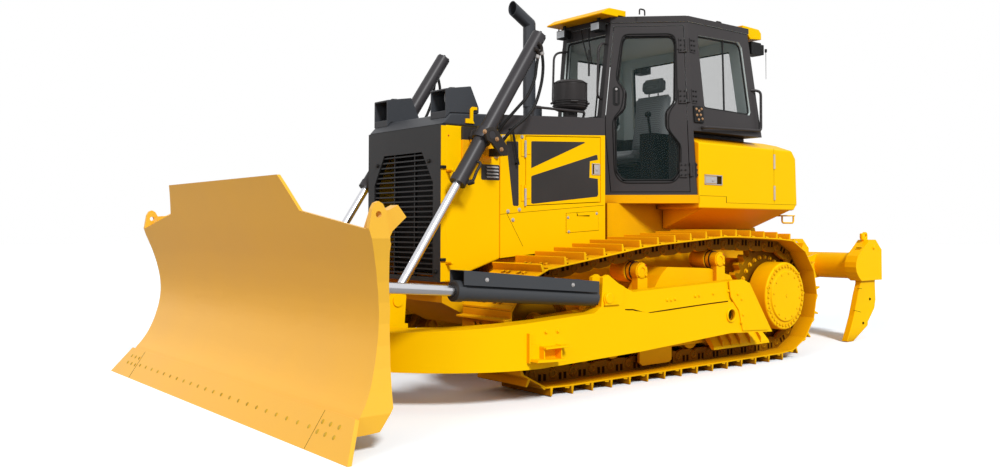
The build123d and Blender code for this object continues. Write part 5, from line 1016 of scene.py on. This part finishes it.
turned(work, [(0.046, -0.004), (0.06, -0.004), (0.06, 0.01), (0.055, 0.014), (0.049, 0.014), (0.046, 0.01)],
    (HOLE[0], ARM_SIDE, HOLE[1]), LEFT, 36, ring=True)
box_plate(work, 1.085, 1.24, 0.65, 0.662, 1.458, 1.468)
turned(work, [(0.04, -0.002), (0.04, 0.008), (0.034, 0.012)], (1.196, 1.462, 0.697), LEFT, 28)
bolt_heads(work, on_side(EAR_PLATE, (0.533, 0.652), (0.486, 0.65), (0.438, 0.655), (0.194, 0.667),
    (0.144, 0.668), (-0.035, 0.676), (-0.233, 0.688)), LEFT, 0.018)
both_sides("arm_bolts_and_rings", work, yellow, "push_frame")

seam = [(1.004, 0.609), (0.918, 0.604), (0.819, 0.58), (0.752, 0.569), (0.498, 0.581), (0.257, 0.591),
    (0.004, 0.601), (-0.233, 0.608)]
plate(work, seam + [(x, z - 0.01) for x, z in reversed(seam)], EAR_PLATE, EAR_PLATE + 0.0006)
turned(work, [(0.044, -0.001), (0.044, 0.002)], (HOLE[0], 1.425, HOLE[1]), LEFT, 28)
both_sides("arm_shadows", work, seam_dark, "push_frame")

# ---------------- blade
# A moldboard rolled from plate with box ribs behind, its face scuffed and dusty. Three cutting
# edges and two end bits are held on by plow bolts with square shanks and domed heads.
blade_yellow = enamel("blade_enamel", (0.92, 0.5, 0.03), (0.9, 0.45, 0.028),
    (0.8, 0.4, 0.06), 0.3, 0.0006, 0.38, gleam=0.5)
steel(blade_yellow, 0.004, "blade")
steel(blade_yellow, 0.002, "cutting_edges")
EDGE_WAY = Vector((0.839, 0, 0.544)).normalized()


def on_edge(y, z):
    """A place on the cutting edges' front face."""
    return (3.5 + (0.202 - z) * 0.131 / 0.202, y, z)


for step in range(22):
    y = -1.45 + step * 2.9 / 21
    turned(work, [(0.013, -0.003), (0.013, 0.001), (0.009, 0.004), (0.003, 0.005)], on_edge(y, 0.104),
        EDGE_WAY, 14)
for side in (-1, 1):
    for y in (1.56, 1.65, 1.745):
        for z in (0.095, 0.145):
            turned(work, [(0.014, -0.003), (0.014, 0.001), (0.01, 0.004), (0.003, 0.005)],
                on_edge(side * y, z), EDGE_WAY, 14)
finished("plow_bolts", work, cast_black("plow_bolt_heads", (0.62, 0.38, 0.03),
    (0.4, 0.22, 0.01), 0.4, 0.0004), "blade")
for side in (-1, 1):
    low, high = sorted((side * 1.5205, side * 1.5235))
    edge_top, edge_foot = on_edge(0, 0.198), on_edge(0, 0.004)
    out = EDGE_WAY * 0.0006
    plate(work, [(edge_top[0] + out.x, edge_top[2] + out.z), (edge_foot[0] + out.x, edge_foot[2] + out.z),
        (edge_foot[0] - 0.004, edge_foot[2]), (edge_top[0] - 0.004, edge_top[2])], low, high)
finished("edge_joints", work, seam_dark, "blade")

# ---------------- ripper
# A round welded beam with three pockets. Each shank is a flame-cut, tapered tine held by a pin;
# a shin guard and a point are wedged on its front.
steel(yellow, 0.006, "ripper_beam")
steel(frame_yellow, 0.005, "ripper_shanks")
bolt_heads(work, [(-3.45, 0.97, 0.996)], LEFT, 0.026)
turned(work, [(0.02, -0.02), (0.024, 0.0), (0.024, 0.04), (0.016, 0.05)], (-3.33, 0.905, 1.105), UP, 20)
both_sides("ripper_pins", work, yellow, "ripper")
for side in (-1, 1):
    low, high = sorted((side * 0.9428, side * 0.9434))
    plate(work, [(-3.07, 0.33), (-3.23, 0.3), (-3.23, 0.304), (-3.07, 0.334)], low, high)
    plate(work, [(-3.15, 0.56), (-3.25, 0.552), (-3.25, 0.556), (-3.15, 0.564)], low, high)
    bolt_heads(work, [(-3.412, side * 0.943, 0.435), (-3.266, side * 0.943, 0.182)], (0, side, 0), 0.018)
finished("shank_marks", work, seam_dark, "ripper")

# ---------------- cylinders
# Honed barrels in slate paint with chromed rods. The lift barrels swing in bolted yokes at the
# nose; a steel tube feeds each barrel's lower end from the swivel.
yoke_black = cast_black("yoke_black", (0.04, 0.034, 0.03), (0.022, 0.018, 0.016), 0.5, 0.0012)


def yoke_foot(tree, place, facing_way):
    """The yoke's foot against the nose, sprayed yellow with the nose's side; its deeper orange tone is
    painted shade.
    """
    parts = axes(tree, place)
    by_nose = reckon(tree, "LESS_THAN", reckon(tree, "ABSOLUTE", parts["Y"], 0.0), 0.612)
    return reckon(tree, "MULTIPLY", by_nose, reckon(tree, "LESS_THAN", parts["Z"], 1.88))


recoloured(yoke_black, (0.9, 0.42, 0.0), yoke_foot)
steel(yoke_black, 0.01, "lift_yokes")
YOKE_FACE = 0.768
bolt_heads(work, on_side(YOKE_FACE, (1.8, 1.925), (1.684, 1.875), (1.64, 1.8)), LEFT, 0.022)
both_sides("yoke_bolts", work, passivated)
barrel_black = enamel("barrel_enamel", (0.034, 0.031, 0.034), (0.02, 0.019, 0.021),
    (0.05, 0.047, 0.05), 0.3, 0.0003, 0.4, gleam=0.25)
barrel_slate = enamel("slate_barrel_enamel", (0.052, 0.056, 0.062), (0.026, 0.028, 0.031),
    (0.07, 0.072, 0.076), 0.3, 0.0003, 0.4, gleam=0.25)
steel(barrel_black, 0.004, "left_lift_barrel", "right_lift_barrel")
steel(barrel_slate, 0.004, "left_angle_barrel", "right_angle_barrel", "ripper_barrels")
chrome, chrome_tree, chrome_shader, chrome_slow, _ = wear("hard_chrome",
    {"Base Color": (0.66, 0.66, 0.69, 1), "Metallic": 1.0, "Roughness": 0.14})
chrome_tree.links.new(stretch(chrome_tree, chrome_slow, 0.3, 0.7, 0.2, 0.28),
    chrome_shader.inputs["Roughness"])
steel(chrome, 0.003, "left_lift_rod", "right_lift_rod", "left_angle_rod", "right_angle_rod", "ripper_rods")
LIFT_WAY = (Vector((2.524, 0, 0.703)) - Vector((1.728, 0, 1.906))).normalized()
LIFT_HEAD = Vector((1.728, 0.66, 1.906)) - LIFT_WAY * 1.013
rod(work, [(1.83, 0.718, 1.702), (1.812, 0.738, 1.69), (1.822, 0.738, 1.668), (1.85, 0.735, 1.63),
    (1.886, 0.735, 1.549), (1.905, 0.7, 1.535)], 0.011, 0.03)
turned(work, [(0.02, -0.03), (0.02, 0.012), (0.015, 0.016)], (1.89, 0.73, 1.548), (-0.4, 0.6, 0.2), 16)
rod(work, [(1.236, 0.726, 2.668), (1.206, 0.728, 2.65), (1.199, 0.724, 2.605)], 0.016, 0.02)
rod(work, [(1.275, 0.726, 2.618), (1.236, 0.724, 2.614), (1.221, 0.712, 2.575)], 0.016, 0.02)
both_sides("lift_tubes", work, yoke_black, "*_lift_barrel")
turned(work, [(0.046, -0.02), (0.046, 0.0), (0.04, 0.012), (0.018, 0.016)], LIFT_HEAD, -LIFT_WAY, 28)
for angle in range(0, 360, 60):
    spoke = Vector((math.cos(math.radians(angle)) * LIFT_WAY.z, math.sin(math.radians(angle)),
        -math.cos(math.radians(angle)) * LIFT_WAY.x)) * 0.048
    turned(work, [(0.009, -0.01), (0.009, 0.01), (0.006, 0.012)], LIFT_HEAD + spoke, -LIFT_WAY, 8)
both_sides("lift_barrel_caps", work, barrel_black, "*_lift_barrel")

GUARD_FACE = 1.458
ANGLE_TAIL = Vector((1.196, 1.38, 0.697))
ANGLE_WAY = Vector((1.932, 0.0, 0.158)).normalized()
turned(work, [(0.04, 0.0), (0.067, 0.0), (0.067, 0.04), (0.06, 0.046), (0.044, 0.046), (0.04, 0.04)],
    ANGLE_TAIL + ANGLE_WAY * 1.296, ANGLE_WAY, 40, ring=True)
both_sides("angle_glands", work, yoke_black, "*_angle_barrel")
bolt_heads(work, on_side(GUARD_FACE, (2.316, 0.871), (1.551, 0.809)), LEFT, 0.018)
both_sides("angle_guard_bolts", work, zinc, "*_angle_barrel")

# ---------------- lift hoses
# Two braided rubber hoses a side feed each lift cylinder. They drop from the elbows on its head
# and run forward into the nose, with a crimped steel ferrule at each end.
hose_rubber = cast_black("hose_rubber", (0.016, 0.015, 0.015), (0.009, 0.009, 0.009), 0.6,
    0.0008)
HOSE_RUNS = {"upper_lift_hose": [(1.221, 0.71, 2.58), (1.238, 0.708, 2.48), (1.256, 0.704, 2.377),
                                 (1.318, 0.69, 2.244), (1.393, 0.655, 2.145), (1.462, 0.595, 2.04),
                                 (1.5, 0.545, 1.95), (1.51, 0.522, 1.9)],
             "lower_lift_hose": [(1.2, 0.722, 2.612), (1.182, 0.718, 2.56), (1.17, 0.71, 2.468),
                                 (1.182, 0.7, 2.345), (1.235, 0.692, 2.189), (1.318, 0.68, 2.079),
                                 (1.42, 0.64, 1.985), (1.48, 0.575, 1.88), (1.495, 0.53, 1.8),
                                 (1.498, 0.522, 1.78)],}


def smooth_run(points):
    """A rounder path through the points, four steps to each span."""
    spots = [Vector(point) for point in points]
    spots = [spots[0] * 2 - spots[1], *spots, spots[-1] * 2 - spots[-2]]
    path = []
    for before, start, end, after in zip(spots, spots[1:], spots[2:], spots[3:]):
        for step in range(4):
            share = step / 4
            path.append(0.5 * (2 * start + (end - before) * share
                               + (2 * before - 5 * start + 4 * end - after) * share ** 2
                               + (3 * start - before - 3 * end + after) * share ** 3))
    return path + [spots[-2]]


for label, points in HOSE_RUNS.items():
    for side, name in ((1, "left_"), (-1, "right_")):
        run = smooth_run([(x, side * y, z) for x, y, z in points])
        path = rod(work, run, 0.0125, 0.004, 14)
        hose = finished(name + label, work, hose_rubber, None)
        length = sum((after - before).length for before, after in zip(path, path[1:]))
        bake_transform(hose)
for spot, way in (((1.221, 0.71, 2.598), (0.17, 0, -1)), ((1.203, 0.722, 2.628), (-0.3, 0, -0.9))):
    turned(work, [(0.012, 0.0), (0.018, 0.004), (0.018, 0.044), (0.013, 0.05)], spot, way, 16)
both_sides("hose_ferrules", work, zinc, "*_lift_barrel")
for spot in ((1.511, 0.518, 1.896), (1.498, 0.518, 1.779)):
    turned(work, [(0.026, 0.0), (0.026, 0.01), (0.02, 0.012), (0.018, 0.034), (0.013, 0.038)], spot,
        (0, 1, 0.1), 16)
both_sides("hose_bulkheads", work, zinc)
plate(work, [(1.371, 2.0), (1.349, 2.002), (1.285, 1.712), (1.306, 1.711)], 0.556, 0.561)
rod(work, [(1.36, 0.518, 1.992), (1.36, 0.56, 1.992)], 0.008)
rod(work, [(1.297, 0.518, 1.722), (1.297, 0.56, 1.722)], 0.008)
both_sides("hose_straps", work, rubber)
